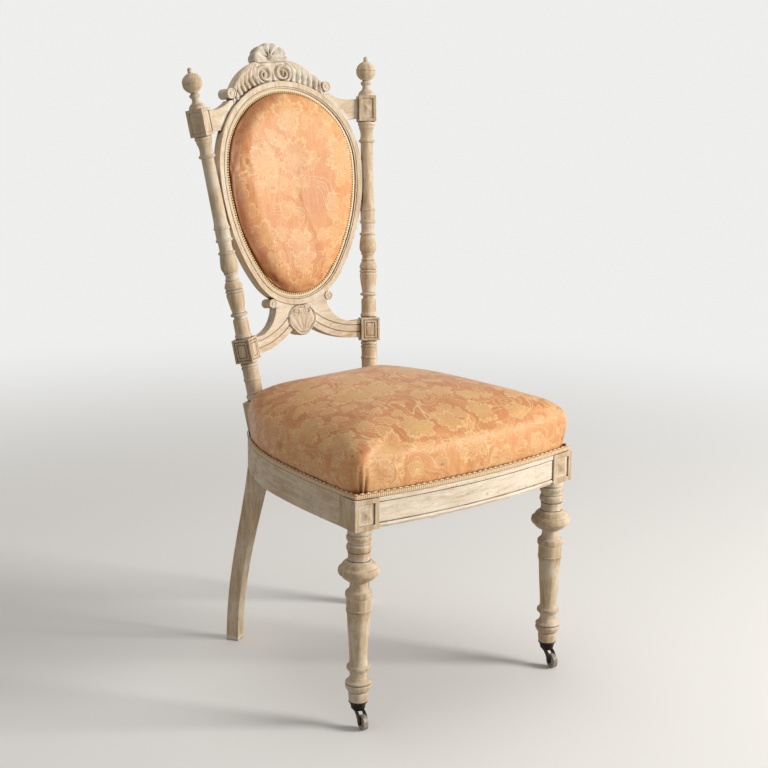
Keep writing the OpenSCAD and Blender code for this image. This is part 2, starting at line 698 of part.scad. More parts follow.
// Spaces of the oval's upper half, of its toe and of the posts' blocks in the two rails of the back
module oval_space(v, r) {
    at_back() translate([0, oval_w, v]) rotate([90, 0, 0]) cylinder(r = r, h = 2 * oval_w);
}
module block_spaces(start, w, l) {
    for (s = [-1, 1]) at_post(s) translate([0, 0, start - over]) toed(s) translate([-w / 2, -w / 2, 0])
        cube([w, w, l + 2 * over]);
}
module back_bores() {
    for (s = [-1, 1]) mirrored(s) back_joints(dowel_r + dowel_gap, dowel_l + over);
}
crest_roll_u = dome_w + 0.3 * crest_roll_r;
crest_roll_v = dome_v + 1.3 * crest_roll_r;
crest_roll_y = crest_face_y + crest_t / 2 - 0.055 * dome_w;
module crest_rail() color(wood) {
    difference() {
        at_back() hollow_plate(crest_set, crest_set + crest_t) shoulder_outline();
        oval_space(oval_mid, oval_r);
        block_spaces(upper_block_at, upper_block_w, upper_block_l);
        back_bores();
    }
    difference() {
        at_crest() hollow_plate(crest_set, crest_set + crest_t) difference() {
            dome_outline();
            shell_outline();
        }
        oval_space(oval_mid, oval_r);
    }
    at_back() for (s = [-1, 1]) translate([s * crest_roll_u, crest_roll_y, crest_roll_v])
        roll(crest_roll_r, crest_roll_l);
}

// Carving on the dome: two facing volutes, and leaves that fan out on each side above the oval
volute_turns_share = 1.6;
volute_steps = 44;
leaf_count = 4;
leaf_step_angle = 5.1;
leaf_first_angle = 16.8;
leaf_lean_angles = [38, 33, 26, 17];
leaf_length_shares = [0.56, 0.5, 0.41, 0.3];
leaf_width_share = 0.135;
leaf_curl_share = 0.17;
leaf_steps = 8;
function spiral(r, t) = r * (1 - 0.78 * t);
module volute(r) {
    polygon(concat(
        [for (i = [0 : volute_steps]) let (t = i / volute_steps, a = 90 + 360 * volute_turns_share * t)
            spiral(r, t) * [cos(a), sin(a)]],
        [for (i = [volute_steps : -1 : 0]) let (t = i / volute_steps, a = 90 + 360 * volute_turns_share * t)
            (spiral(r, t) - 0.26 * r * (1 - 0.4 * t)) * [cos(a), sin(a)]]
    ));
    circle(r = 0.26 * r);
}

// A leaf that stands on the origin and curls over at its tip, to its right
function leaf_half(t) = leaf_width_share * dome_h / 2 * pow(max(0, sin(180 * pow(t, 0.75))), 0.7);
function leaf_point(l, t, side) = [leaf_curl_share * l * t * t + side * leaf_half(t), l * t];
module leaf(l) {
    polygon(concat(
        [for (i = [0 : leaf_steps - 1]) leaf_point(l, i / leaf_steps, 1)],
        [for (i = [leaf_steps : -1 : 1]) leaf_point(l, i / leaf_steps, -1)]
    ));
}
module crest_carving() color(wood_deep) {
    foot_r = oval_r + 0.03 * dome_w;
    at_crest() hollow_plate(crest_set - carving_h, crest_set) intersection() {
        dome_outline(over);
        difference() {
            for (s = [0, 1]) mirror([s, 0]) {
                translate([1.26 * volute_r, volute_v]) volute(volute_r);
                difference() {
                    for (i = [0 : leaf_count - 1]) let (a = leaf_first_angle + leaf_step_angle * i)
                        translate([foot_r * sin(a), oval_mid + foot_r * cos(a)])
                        rotate(leaf_lean_angles[i] - a) leaf(leaf_length_shares[i] * dome_h);
                    translate([1.26 * volute_r, volute_v]) circle(r = 1.06 * volute_r);
                    translate([crest_roll_u, crest_roll_v]) circle(r = 1.25 * crest_roll_r);
                }
            }
            shell_outline(-over);
            translate([0, oval_mid]) circle(r = oval_r + over);
        }
    }
}

module crest_shell() color(wood_deep) {
    lobe_v = shell_h - shell_lobe_r;
    at_crest() {
        difference() {
            hollow_plate(crest_set - 0.1 * shell_t, crest_set + 0.9 * shell_t) shell_outline();
            for (a = [shell_step / 2 : shell_step : 180]) translate([0, crest_face_y - 0.1 * shell_t, shell_v])
                rotate([0, -a, 0]) rotate([0, 90, 0]) translate([0, 0, 0.35 * shell_h])
                cylinder(r = 0.07 * shell_w, h = 2 * shell_h);
        }
        translate([0, crest_face_y - 0.1 * shell_t, shell_v]) sphere(r = 0.16 * shell_w);
    }
}

// Oval frame: two halves that meet on the centre line. Each row is a step across its face: where it
// starts and ends as shares of the band's width, and its depth as a share of the rebate's.
hoop_step_shares = [[0, 0.74, 0], [0.74, 0.84, 0.3], [0.84, 1, 0]];
module oval_hoop(side) {
    at_back() {
        for (row = hoop_step_shares)
            half_oval_band(side, row[2] * rebate_d, hoop_t, row[0] * band_w, row[1] * band_w);
        half_oval_band(side, rebate_d, hoop_t, band_w, wood_w);
    }
}
module left_oval_hoop() color(wood) oval_hoop(-1);
module right_oval_hoop() color(wood) oval_hoop(1);

// Lower rail: two moulded arms that sweep up from the posts to the toe of the oval
arm_upper_u = lower_u - 0.56 * arm_upper_r;
arm_lower_u = lower_u - 0.1 * arm_lower_r;
module arms_outline() {
    difference() {
        intersection() {
            translate([-lower_u, arm_low]) square([2 * lower_u, oval_low - arm_low + 1.6 * arm_roll_r]);
            for (s = [-1, 1]) {
                intersection() {
                    translate([s * arm_lower_u, arm_low + arm_lower_r]) circle(r = arm_lower_r);
                    half_plane(s);
                }
                mirror([s < 0 ? 1 : 0, 0]) translate([arm_lower_u, arm_low])
                    square([lower_u - arm_lower_u, arm_h]);
            }
        }
        for (s = [0, 1]) mirror([s, 0]) {
            translate([arm_upper_u, arm_top + arm_upper_r]) circle(r = arm_upper_r);
            translate([arm_upper_u, arm_top]) square([lower_u - arm_upper_u + over, far]);
        }
    }
}
module cartouche_outline(d = 0) {
    w = cartouche_w / 2;
    h = cartouche_h / 2;
    r = 0.87 * h;
    for (s = [-1, 1]) translate([s * (w - r), cartouche_v + h - r]) circle(r = r - d);
    translate([0, cartouche_v - 0.1 * h]) circle(r = 0.9 * h - d);
}
arm_groove_shares = [0.3, 0.7];
module arm_groove(s, share) {
    lower_plate(-over, 0.06 * lower_t) intersection() {
        translate([s * arm_lower_u, arm_low + arm_lower_r]) difference() {
            circle(r = arm_lower_r - share * arm_h);
            circle(r = arm_lower_r - (share + 0.06) * arm_h);
        }
        half_plane(s);
        translate([-far, -far]) square([2 * far, far + oval_low - 0.2 * cartouche_h]);
    }
}
module lower_rail() color(wood) {
    roll_y = lower_set + lower_t / 2 - 0.1 * arm_roll_l;
    difference() {
        at_back() difference() {
            union() {
                lower_plate(0, lower_t) arms_outline();
                lower_plate(0, lower_t) cartouche_outline();
            }
            for (s = [-1, 1]) for (share = arm_groove_shares) arm_groove(s, share);
        }
        oval_space(oval_toe_v, oval_toe_r);
        block_spaces(lower_block_at, lower_block_w, lower_block_l);
        back_bores();
    }
    at_back() for (s = [-1, 1])
        translate([s * (arm_upper_u - arm_upper_r + 0.82 * arm_roll_r), roll_y, oval_low + arm_roll_r])
        roll(arm_roll_r, arm_roll_l);
}
module lower_cartouche() color(wood_deep) {
    h = cartouche_h / 2;
    difference() {
        at_back() lower_plate(-cartouche_rise, 0) cartouche_outline();
        at_back() lower_plate(-far / 8, -0.3 * cartouche_rise) difference() {
            cartouche_outline(0.16 * h);
            for (k = [-1, 1]) translate([k * 0.16 * cartouche_w, cartouche_v + 0.66 * h])
                circle(r = 0.11 * cartouche_w);
        }
        oval_space(oval_toe_v, oval_toe_r);
    }
}

// Back upholstery
pad_inset = band_w + back_gimp_w + 2 * soft_gap;
function hollow_point(p, d) = [p[0], hollow_y + sqrt(pow(hollow_r + d, 2) - pow(p[0], 2)), p[1]];
pad_centre = [0, oval_mid - 0.12 * oval_drop];
pad_ring_shares = [1, 1, 0.985, 0.95, 0.88, 0.76, 0.6, 0.4, 0.2];
pad_rise_shares = [0, 0.24, 0.44, 0.62, 0.78, 0.89, 0.96, 0.99, 1];
module back_webbing() color(cloth) at_back()
    oval_sheet(rebate_d - hessian_t, rebate_d, band_w + soft_gap);
module back_gimp() color(braid) at_back()
    oval_strip(rebate_d - hessian_t - gimp_t, rebate_d - hessian_t, band_w + soft_gap,
        band_w + soft_gap + back_gimp_w);
function shrunk(ring, s) = [for (p = ring) pad_centre + (p - pad_centre) * s];
module back_pad() color(satin) {
    outline = oval_ring(pad_inset, 1);
    base = rebate_d - hessian_t - soft_gap;
    at_back() loft(
        concat(
            [for (i = [len(pad_ring_shares) - 1 : -1 : 0])
                [for (p = shrunk(outline, pad_ring_shares[i]))
                    hollow_point(p, base - pad_h * pad_rise_shares[i])]],
            [for (s = [0.97, 0.7, 0.35]) [for (p = shrunk(outline, s)) hollow_point(p, base)]]
        ),
        hollow_point(pad_centre, base - pad_h), hollow_point(pad_centre, base)
    );
}
module back_outside_cover() color(satin) at_back()
    oval_sheet(hoop_t, hoop_t + cover_t, band_w);
module back_rear_gimp() color(braid) at_back()
    oval_strip(hoop_t + cover_t, hoop_t + cover_t + gimp_t, band_w + soft_gap, band_w + back_gimp_w);

// Seat rails
module rail_ring(d = 0) {
    difference() {
        seat_outline(d);
        seat_outline(rail_t);
    }
}
module leg_block_space(side) {
    at_leg(side) rotate([0, 0, side * leg_toe])
        translate([-leg_block_w / 2, -leg_block_w / 2, rail_bottom - over])
        cube([leg_block_w, leg_block_w, rail_depth + 2 * over]);
}
module front_rail() color(wood) {
    x = leg_x - leg_block_w / 4;
    fillet = 0.18 * bead_h;
    field = front_r - field_sink;
    difference() {
        intersection() {
            placed() translate([0, front_centre_y, rail_bottom]) rotate([0, 0, -90 - front_turn])
                rotate_extrude(angle = 2 * front_turn) polygon([
                    [front_r - rail_t, 0], [front_r - 0.3 * bead_h, 0], [front_r - 0.3 * bead_h, fillet],
                    [front_r - 0.3 * bead_h, bead_h - fillet], [field - fillet, bead_h - fillet],
                    [field - fillet, bead_h], [field, bead_h],
                    [field, rail_depth - top_band_h - fillet],
                    [field - fillet, rail_depth - top_band_h - fillet],
                    [field - fillet, rail_depth - top_band_h], [front_r, rail_depth - top_band_h],
                    [front_r, rail_depth], [front_r - rail_t, rail_depth]
                ]);
            placed() translate([-x, -far, 0]) cube([2 * x, 2 * far, far]);
        }
        for (s = [-1, 1]) leg_block_space(s);
        for (s = [-1, 1]) mirrored(s) rail_joints(dowel_r + dowel_gap, dowel_l + over);
    }
    placed() intersection() {
        translate([0, front_centre_y, rail_bottom + bead_h / 2]) rotate([0, 0, -90 - front_turn])
            rotate_extrude(angle = 2 * front_turn) translate([front_r - 0.3 * bead_h, 0]) intersection() {
                circle(r = (bead_h - 2 * fillet) / 2);
                translate([-over / 10, -bead_h]) square([bead_h, 2 * bead_h]);
            }
        translate([-leg_inner_corner[0] + over, -far, 0])
            cube([2 * (leg_inner_corner[0] - over), 2 * far, far]);
    }
}
module side_rail(side) {
    difference() {
        intersection() {
            placed() translate([0, 0, rail_bottom]) linear_extrude(rail_depth) rail_ring();
            placed() translate([side < 0 ? -far : 0, 0, 0]) cube([far, far, far]);
            placed() translate([side * post_x, seat_d, 0]) toed(side)
                translate([side < 0 ? -far : 0, seat_block_w / 2 - 2 * far, 0]) cube([far, 2 * far, far]);
        }
        leg_block_space(side);
        post_foot(side);
        mirrored(side) rail_joints(dowel_r + dowel_gap, dowel_l + over);
    }
}
module left_side_rail() color(wood) side_rail(-1);
module right_side_rail() color(wood) side_rail(1);
module rear_rail() color(wood) {
    difference() {
        placed() translate([-post_x, rear_y - rail_t, rail_bottom]) cube([2 * post_x, rail_t, rail_depth]);
        for (s = [-1, 1]) post_foot(s);
        for (s = [-1, 1]) mirrored(s) rail_joints(dowel_r + dowel_gap, dowel_l + over);
        for (s = [-1, 1]) placed() translate([s * post_x, seat_d, 0]) toed(s)
            translate([s < 0 ? -far : 0, -far, 0]) cube([far, 2 * far, far]);
    }
}

// Dowels of the right half: front rail and side rail into the leg, side rail and rear rail into the post
dowel_spread = 0.24 * rail_depth;
module peg(p, angle, r, l) {
    for (s = [-1, 1]) placed() translate([p[0], p[1], rail_mid + s * dowel_spread]) rotate([0, 0, angle])
        rotate([0, 90, 0]) cylinder(r = r, h = 2 * l, center = true);
}
module rail_joints(r, l) {
    post_face = [post_x, seat_d] + turned_xy([seat_block_w / 2, 0.14 * seat_block_w], -post_toe);
    inner_face = [post_x, seat_d] + turned_xy([-seat_block_w / 2, 0.34 * seat_block_w], -post_toe);
    front_face = [leg_x, 0] + turned_xy([-leg_block_w / 2, -0.27 * leg_block_w], leg_toe);
    back_face = [leg_x, 0] + turned_xy([0.2 * leg_block_w, leg_block_w / 2], leg_toe);
    peg(front_face, front_end_angle, r, l);
    peg(back_face, 90, r, l);
    peg(post_face, -post_toe, r, l);
    peg(inner_face, 0, r, l);
}
module rail_dowels() color(wood_deep) {
    rail_joints(dowel_r, dowel_l);
    mirror([1, 0, 0]) rail_joints(dowel_r, dowel_l);
}
module back_joints(r, l) {
    upper = [upper_u, upper_v, upper_block_w, 0.3 * crest_t];
    lower = [lower_u, lower_v, lower_block_w, 0.3 * lower_t];
    for (b = [upper, lower])
        at_back() translate([b[0], 0, b[1]]) rotate([0, splay, 0]) toed(1) translate([-b[2] / 2, b[3] / 2, 0])
            rotate([0, 90, 0]) cylinder(r = 0.8 * r, h = 1.3 * l, center = true);
}
module back_dowels() color(wood_deep) {
    back_joints(dowel_r, dowel_l);
    mirror([1, 0, 0]) back_joints(dowel_r, dowel_l);
}

// Corner blocks: glued and screwed across the inside of the seat's corners
corner_h = 0.74 * rail_depth;
corner_reach = 1.35 * leg_block_w;
front_corner_angle = -45;
rear_corner_angle = 62;
rear_corner_reach = 1.5 * seat_block_w;
module corner_cut(p, angle, reach, side) {
    mirror([side < 0 ? 1 : 0, 0]) translate(p) rotate(angle) translate([-reach, -far / 2]) square([far, far]);
}
front_corner = [leg_x - leg_block_w / 2, leg_block_w / 2];
rear_corner = [post_x, seat_d] - turned_xy([0, seat_block_w / 2], -post_toe);
module corner_block(side, p, angle, reach) {
    placed() translate([0, 0, rail_mid - corner_h / 2]) linear_extrude(corner_h) intersection() {
        seat_outline(rail_t);
        corner_cut(p, angle, reach, side);
    }
}
module corner_screw(side, p, angle, reach, r, head_r) {
    placed() mirrored(side) translate([p[0], p[1], rail_mid]) rotate([0, 0, angle]) translate([-reach, 0, 0])
        rotate([0, 90, 0]) {
            cylinder(r = r, h = reach + 0.25 * leg_block_w);
            translate([0, 0, -over]) cylinder(r = head_r, h = over + 2 * screw_r);
        }
}
module corner_screw_set(side, gap) {
    corner_screw(side, front_corner, front_corner_angle, corner_reach / 2, screw_r + gap, 2 * screw_r + gap);
    corner_screw(side, rear_corner, rear_corner_angle, rear_corner_reach / 3, screw_r + gap, 2 * screw_r + gap);
}
module corner_blocks() color(wood_deep) {
    for (s = [-1, 1]) difference() {
        union() {
            corner_block(s, front_corner, front_corner_angle, corner_reach / 2);
            corner_block(s, rear_corner, rear_corner_angle, rear_corner_reach / 3);
        }
        leg_block_space(s);
        post_foot(s);
        corner_screw_set(s, dowel_gap);
    }
}
module corner_block_screws() color(steel) for (s = [-1, 1]) intersection() {
    corner_screw_set(s, 0);
    placed() linear_extrude(rail_top) seat_outline(0);
}

// Seat upholstery
module seat_gimp() color(braid) difference() {
    placed() translate([0, 0, rail_top]) linear_extrude(gimp_h) difference() {
        seat_outline(-gimp_proud);
        seat_outline(gimp_t - gimp_proud);
    }
    for (s = [-1, 1]) {
        seat_block(s, soft_gap);
        at_post(s) toed(s)
            translate([s < 0 ? seat_block_w / 2 - far : -seat_block_w / 2, seat_block_w / 2, -rail_depth])
            cube([far, far, 2 * rail_depth]);
    }
}
straps_across = 4;
module seat_webbing() color(cloth) placed() translate([0, 0, rail_bottom]) {
    edge = 0.35 * rail_t;
    pitch_x = 1.3 * strap_w;
    first_y = 0.55 * leg_block_w;
    pitch_y = (rear_y - first_y - 2.5 * strap_w) / (straps_across - 1);
    translate([0, 0, -webbing_t]) linear_extrude(webbing_t) intersection() {
        seat_outline(edge);
        for (i = [-1 : 1]) translate([i * pitch_x - strap_w / 2, -far]) square([strap_w, 2 * far]);
    }
    translate([0, 0, -2 * webbing_t - soft_gap]) linear_extrude(webbing_t) intersection() {
        seat_outline(edge);
        for (i = [0 : straps_across - 1]) translate([-far, first_y + i * pitch_y])
            square([2 * far, strap_w]);
    }
}

// Springs stand on the webbing and carry the hessian. Each row places one, as shares of the legs' spacing
// and of the seat's depth, and gives its height as a share of the hessian's rise.
spring_spot_shares = [[-0.26, 0.3, 0.6], [0.26, 0.3, 0.6], [0, 0.5, 0.93], [-0.2, 0.68, 0.6], [0.2, 0.68, 0.6]];
spring_base = rail_bottom + soft_gap;
hessian_rise = 0.9 * rail_depth;
rings_a_turn = 8;
wire_sides = 6;
spring_rings = rings_a_turn * spring_turns;
waist_power_share = 1.5;
function spring_l(spot) = rail_depth + spot[2] * hessian_rise - soft_gap;
function reach(t) = spring_waist_r + (spring_r - spring_waist_r) * pow(abs(2 * t - 1), waist_power_share);

// A point beside the wire's middle at ring i of a spring of length l
function wire_point(l, i, out, up) =
    let (a = 360 * i / rings_a_turn, t = i / spring_rings, r = reach(t) + out)
    [r * cos(a), r * sin(a), wire_r + (l - 2 * wire_r) * t + up];
function middle_gap(l, i, j) = norm(wire_point(l, i, 0, 0) - wire_point(l, j, 0, 0));
spring_gap = min([for (i = [0 : spring_rings - rings_a_turn / 2])
    for (j = [i + rings_a_turn / 2 : spring_rings])
        middle_gap(spring_l(spring_spot_shares[0]), i, j)]) - 2 * wire_r;
echo(least_gap_between_spring_turns = spring_gap);
module coil(l) {
    loft(
        [for (i = [0 : spring_rings]) [for (k = [0 : wire_sides - 1]) let (b = -360 * k / wire_sides)
            wire_point(l, i, wire_r * cos(b), wire_r * sin(b))]],
        wire_point(l, 0, 0, 0), wire_point(l, spring_rings, 0, 0)
    );
}
module seat_springs() color(steel) placed() for (spot = spring_spot_shares)
    translate([spot[0] * leg_spacing, front_mid_y + spot[1] * (rear_y - front_mid_y), spring_base])
    coil(spring_l(spot));

// Hessian over the springs, domed, its edge on the rails
seat_middle = [0, front_mid_y + 0.5 * (rear_y - front_mid_y)];
hessian_edge = 0.3 * rail_t;
dome_ring_shares = [1, 0.93, 0.86, 0.76, 0.62, 0.44, 0.24];
dome_rise_shares = [0, 0.02, 0.16, 0.42, 0.7, 0.9, 0.98];
function seat_dome(d, c, z, rise) = [for (i = [0 : len(dome_ring_shares) - 1])
    [for (p = seat_ring(d, c)) let (q = seat_middle + (p - seat_middle) * dome_ring_shares[i])
        [q[0], q[1], z + rise * dome_rise_shares[i]]]];
module posts_space(gap) {
    for (s = [-1, 1]) {
        seat_block(s, gap);
        at_post(s) translate([0, 0, seat_block_l])
            cylinder(r = post_r + 2 * gap, h = lower_block_at - seat_block_l);
        at_post(s) toed(s) translate([s < 0 ? -far : 0, 0, -rail_depth])
            cube([far, far, lower_block_at + rail_depth]);
    }
}
module seat_hessian() color(cloth) difference() {
    placed() loft(
        concat(
            backwards(seat_dome(hessian_edge, cushion_corner_r, rail_top, hessian_rise)),
            seat_dome(hessian_edge, cushion_corner_r, rail_top + hessian_t, hessian_rise)
        ),
        [seat_middle[0], seat_middle[1], rail_top + hessian_rise],
        [seat_middle[0], seat_middle[1], rail_top + hessian_t + hessian_rise]
    );
    posts_space(soft_gap);
}

// Seat cushion: hollow below over the hessian, upright sides, rounded edge, crowned top
edge_height_shares = [0, 0.18, 0.42, 0.66, 0.83, 0.945, 0.99];
crown_ring_shares = [0.94, 0.85, 0.7, 0.54, 0.36, 0.18];
crown_power_share = 2.8;
module seat_cushion() color(satin) {
    base = rail_top + hessian_t + soft_gap;
    edge_z = rail_top + cushion_edge_h;
    bulge_z = rail_top + gimp_h + soft_gap;
    base_ring = [for (p = seat_ring(cushion_inset, cushion_corner_r)) [p[0], p[1], base]];
    side_rings = [for (i = [0 : len(edge_inset_shares) - 1])
        [for (p = seat_ring(cushion_inset + edge_round * edge_inset_shares[i], cushion_corner_r))
            [p[0], p[1], bulge_z + (edge_z - bulge_z) * edge_height_shares[i]]]];
    top = seat_ring(cushion_inset + edge_round, cushion_corner_r);
    difference() {
        placed() loft(
            concat(
                backwards(seat_dome(hessian_edge + soft_gap, cushion_corner_r, base, hessian_rise)),
                [base_ring],
                side_rings,
                [for (s = crown_ring_shares) [for (p = top) let (q = seat_middle + (p - seat_middle) * s)
                    [q[0], q[1], edge_z + crown_h * (1 - pow(s, crown_power_share))]]]
            ),
            [seat_middle[0], seat_middle[1], base + hessian_rise],
            [seat_middle[0], seat_middle[1], edge_z + crown_h]
        );
        posts_space(soft_gap);
    }
}

// Front legs
module front_leg(side) {
    spigot_r = 0.68 * leg_turning_shares[0][1] * leg_ball_r;
    difference() {
        union() {
            at_leg(side) translate([0, 0, rail_bottom]) rotate([0, 0, side * leg_toe])
                panel_block(leg_block_w, rail_depth, [0]);
            at_leg(side) translate([0, 0, cup_top])
                turning(leg_turning_shares, rail_bottom - cup_top, leg_ball_r);
            at_leg(side) translate([0, 0, cup_bottom + cup_floor])
                cylinder(r = spigot_r, h = cup_top - cup_bottom - cup_floor + over);
        }
        at_leg(side) translate([0, 0, cup_bottom])
            cylinder(r = stem_r + cup_wall / 2, h = stem_top + over - cup_bottom);
        mirrored(side) rail_joints(dowel_r + dowel_gap, dowel_l + over);
        corner_screw_set(side, dowel_gap);
    }
}
module left_front_leg() color(wood) front_leg(-1);
module right_front_leg() color(wood) front_leg(1);

// Casters: a cup on the leg's end, a horn that swivels in it, a wheel on a pin
cup_wall = 0.4 * stem_r;
cup_floor = stem_r;
cup_foot_share = 0.78;
module caster_socket(side) {
    r = leg_turning_shares[0][1] * leg_ball_r;
    spigot_r = 0.68 * r;
    at_leg(side) translate([0, 0, cup_bottom]) difference() {
        rotate_extrude() polygon([
            [0, 0], [cup_foot_share * r, 0], [cup_foot_share * r, 0.12 * r], [0.92 * r, 0.62 * r],
            [1.03 * r, cup_top - cup_bottom - 0.12 * r], [1.03 * r, cup_top - cup_bottom],
            [0, cup_top - cup_bottom]
        ]);
        translate([0, 0, cup_floor]) cylinder(r = spigot_r, h = far);
        translate([0, 0, -over]) cylinder(r = stem_r + turning_gap, h = far);
    }
}
module left_caster_socket() color(iron) caster_socket(-1);
module right_caster_socket() color(iron) caster_socket(1);

cheek_x = wheel_w / 2 + 2 * soft_gap;
horn_r = 2.1 * stem_r;
horn_t = 0.9 * stem_r;
module at_caster(side) {
    at_leg(side) rotate([0, 0, trail_angle]) children();
}
module cheek_outline() {
    eye_r = 2.3 * axle_r;
    reach = horn_top - horn_t / 2 - wheel_r;
    difference() {
        union() {
            translate([trail, wheel_r]) circle(r = eye_r);
            intersection() {
                translate([0, wheel_r - 0.2 * reach]) circle(r = trail + eye_r);
                difference() {
                    translate([-0.55 * horn_r, wheel_r])
                        square([trail + eye_r + 0.55 * horn_r, reach + horn_t / 2]);
                    translate([trail - eye_r - 1.4 * reach, wheel_r - 0.4 * reach]) circle(r = 1.4 * reach);
                }
            }
        }
        translate([-far, horn_top - 0.1 * horn_t]) square([2 * far, far]);
    }
}
module caster_horn(side) {
    difference() {
        union() {
            at_leg(side) translate([0, 0, horn_top - horn_t]) cylinder(r = horn_r, h = horn_t);
            at_leg(side) translate([0, 0, horn_top - over]) cylinder(r = stem_r, h = stem_top - horn_top);
            at_caster(side) for (s = [-1, 1]) translate([0, s * (cheek_x + cheek_t / 2) + cheek_t / 2, 0])
                rotate([90, 0, 0]) linear_extrude(cheek_t) cheek_outline();
        }
        at_caster(side) translate([trail, 0, wheel_r]) rotate([90, 0, 0])
            cylinder(r = axle_r, h = far, center = true);
    }
}
module left_caster_horn() color(iron) caster_horn(-1);
module right_caster_horn() color(iron) caster_horn(1);

module caster_pin(side) {
    l = 2 * (cheek_x + cheek_t) + axle_r;
    at_caster(side) translate([trail, 0, wheel_r]) rotate([90, 0, 0])
        cylinder(r = axle_r, h = l, center = true);
}
module left_caster_pin() color(steel) caster_pin(-1);
module right_caster_pin() color(steel) caster_pin(1);

module caster_wheel(side) {
    edge = 0.12 * wheel_w;
    at_caster(side) translate([trail, 0, wheel_r]) rotate([90, 0, 0]) rotate_extrude() polygon([
        [axle_r + turning_gap, -wheel_w / 2], [0.45 * wheel_r, -wheel_w / 2], [0.5 * wheel_r, -0.36 * wheel_w],
        [0.78 * wheel_r, -0.36 * wheel_w], [0.84 * wheel_r, -wheel_w / 2], [wheel_r - edge, -wheel_w / 2],
        [wheel_r, edge - wheel_w / 2], [wheel_r, wheel_w / 2 - edge], [wheel_r - edge, wheel_w / 2],
        [0.84 * wheel_r, wheel_w / 2], [0.78 * wheel_r, 0.36 * wheel_w], [0.5 * wheel_r, 0.36 * wheel_w],
        [0.45 * wheel_r, wheel_w / 2], [axle_r + turning_gap, wheel_w / 2]
    ]);
}
module left_caster_wheel() color(steel) caster_wheel(-1);
module right_caster_wheel() color(steel) caster_wheel(1);

left_rear_post();
right_rear_post();
left_finial();
right_finial();
crest_rail();
crest_carving();
crest_shell();
left_oval_hoop();
right_oval_hoop();
lower_rail();
lower_cartouche();
back_webbing();
back_pad();
back_gimp();
back_outside_cover();
back_rear_gimp();
front_rail();
left_side_rail();
right_side_rail();
rear_rail();
corner_blocks();
corner_block_screws();
rail_dowels();
back_dowels();
seat_webbing();
seat_springs();
seat_hessian();
seat_cushion();
seat_gimp();
left_front_leg();
right_front_leg();
left_caster_socket();
right_caster_socket();
left_caster_horn();
right_caster_horn();
left_caster_wheel();
right_caster_wheel();
left_caster_pin();
right_caster_pin();
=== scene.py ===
"""Looks of a balloon back chair: limed turned and carved wood, damask over a stuffed seat and back, casters."""
import math
from contextlib import contextmanager

import bmesh
import bpy
import numpy as np
from mathutils import Matrix, Vector
from mathutils.bvhtree import BVHTree


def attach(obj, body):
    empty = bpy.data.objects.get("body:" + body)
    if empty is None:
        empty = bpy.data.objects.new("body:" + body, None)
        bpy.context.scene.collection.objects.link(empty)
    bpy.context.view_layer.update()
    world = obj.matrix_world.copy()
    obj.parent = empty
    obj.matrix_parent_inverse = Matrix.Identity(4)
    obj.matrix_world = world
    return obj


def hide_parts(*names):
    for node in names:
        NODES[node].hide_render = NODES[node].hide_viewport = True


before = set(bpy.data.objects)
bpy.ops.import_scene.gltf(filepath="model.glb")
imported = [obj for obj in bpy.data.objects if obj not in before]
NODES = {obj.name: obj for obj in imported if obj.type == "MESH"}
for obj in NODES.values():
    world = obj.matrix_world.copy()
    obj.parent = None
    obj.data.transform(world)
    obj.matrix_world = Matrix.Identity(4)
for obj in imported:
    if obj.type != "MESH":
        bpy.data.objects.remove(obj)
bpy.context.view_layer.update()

# Sizes in metres, as the part has them: the seat and the legs
RAIL_TOP = 0.387
RAIL_DEPTH = 0.051
SEAT_D = 0.380
SHIFT_Y = -0.250363
LEG_SPACING = 0.421
LEG_BLOCK_W = 0.0455
SEAT_MIDDLE = Vector((0, 0.179359 + SHIFT_Y, 0))
FRONT_MID_Y = -0.0382812
REAR_Y = 0.397

# The raked, hollow back and its oval
RAKE = math.radians(9.8)
HOLLOW_R = 0.690
HOLLOW_SET = 0.0125
OVAL_R = 0.153
OVAL_MID = 0.451
OVAL_DROP = 0.238
OVAL_SIDE_R = 0.325
BAND_W = 0.0125
REBATE_D = 0.0035
HOOP_T = 0.019
PAD_H = 0.017

# The crest with its shell and volutes, and the lower rail's cartouche
CREST_SET = 0.007
CREST_LEAN = math.radians(9)
CREST_FACE = HOLLOW_SET + CREST_SET
CREST_ROLL_R = 0.009
DOME_V = OVAL_MID + OVAL_R * (1 - 0.176)
DOME_W = 0.100
DOME_H = 0.070
DOME_END_R = 0.040
DOME_K = 0.045
SHELL_W = 0.037
SHELL_H = 0.0265
SHELL_T = 0.0185
SHELL_LOBE = 0.23 * SHELL_W
VOLUTE_R = 0.0155
LOWER_R = 0.420
LOWER_SET = 0.015
CARTOUCHE_W = 0.061
CARTOUCHE_H = 0.054

# Cloth, webbing and gimp
HESSIAN_T = 0.0015
COVER_T = 0.0016
WEBBING_T = 0.0016
STRAP_W = 0.048
GIMP_T = 0.0025
GIMP_H = 0.010
BACK_GIMP_W = 0.009
SOFT_GAP = 0.0003

# Sizes that only the looks have; BEAD_LINE is a share of the back gimp's width
GIMP_LOOP = 0.0115
BEAD_PITCH = 0.0044
BEAD_LINE = 0.66
JUTE_PITCH = 0.0018


# Materials


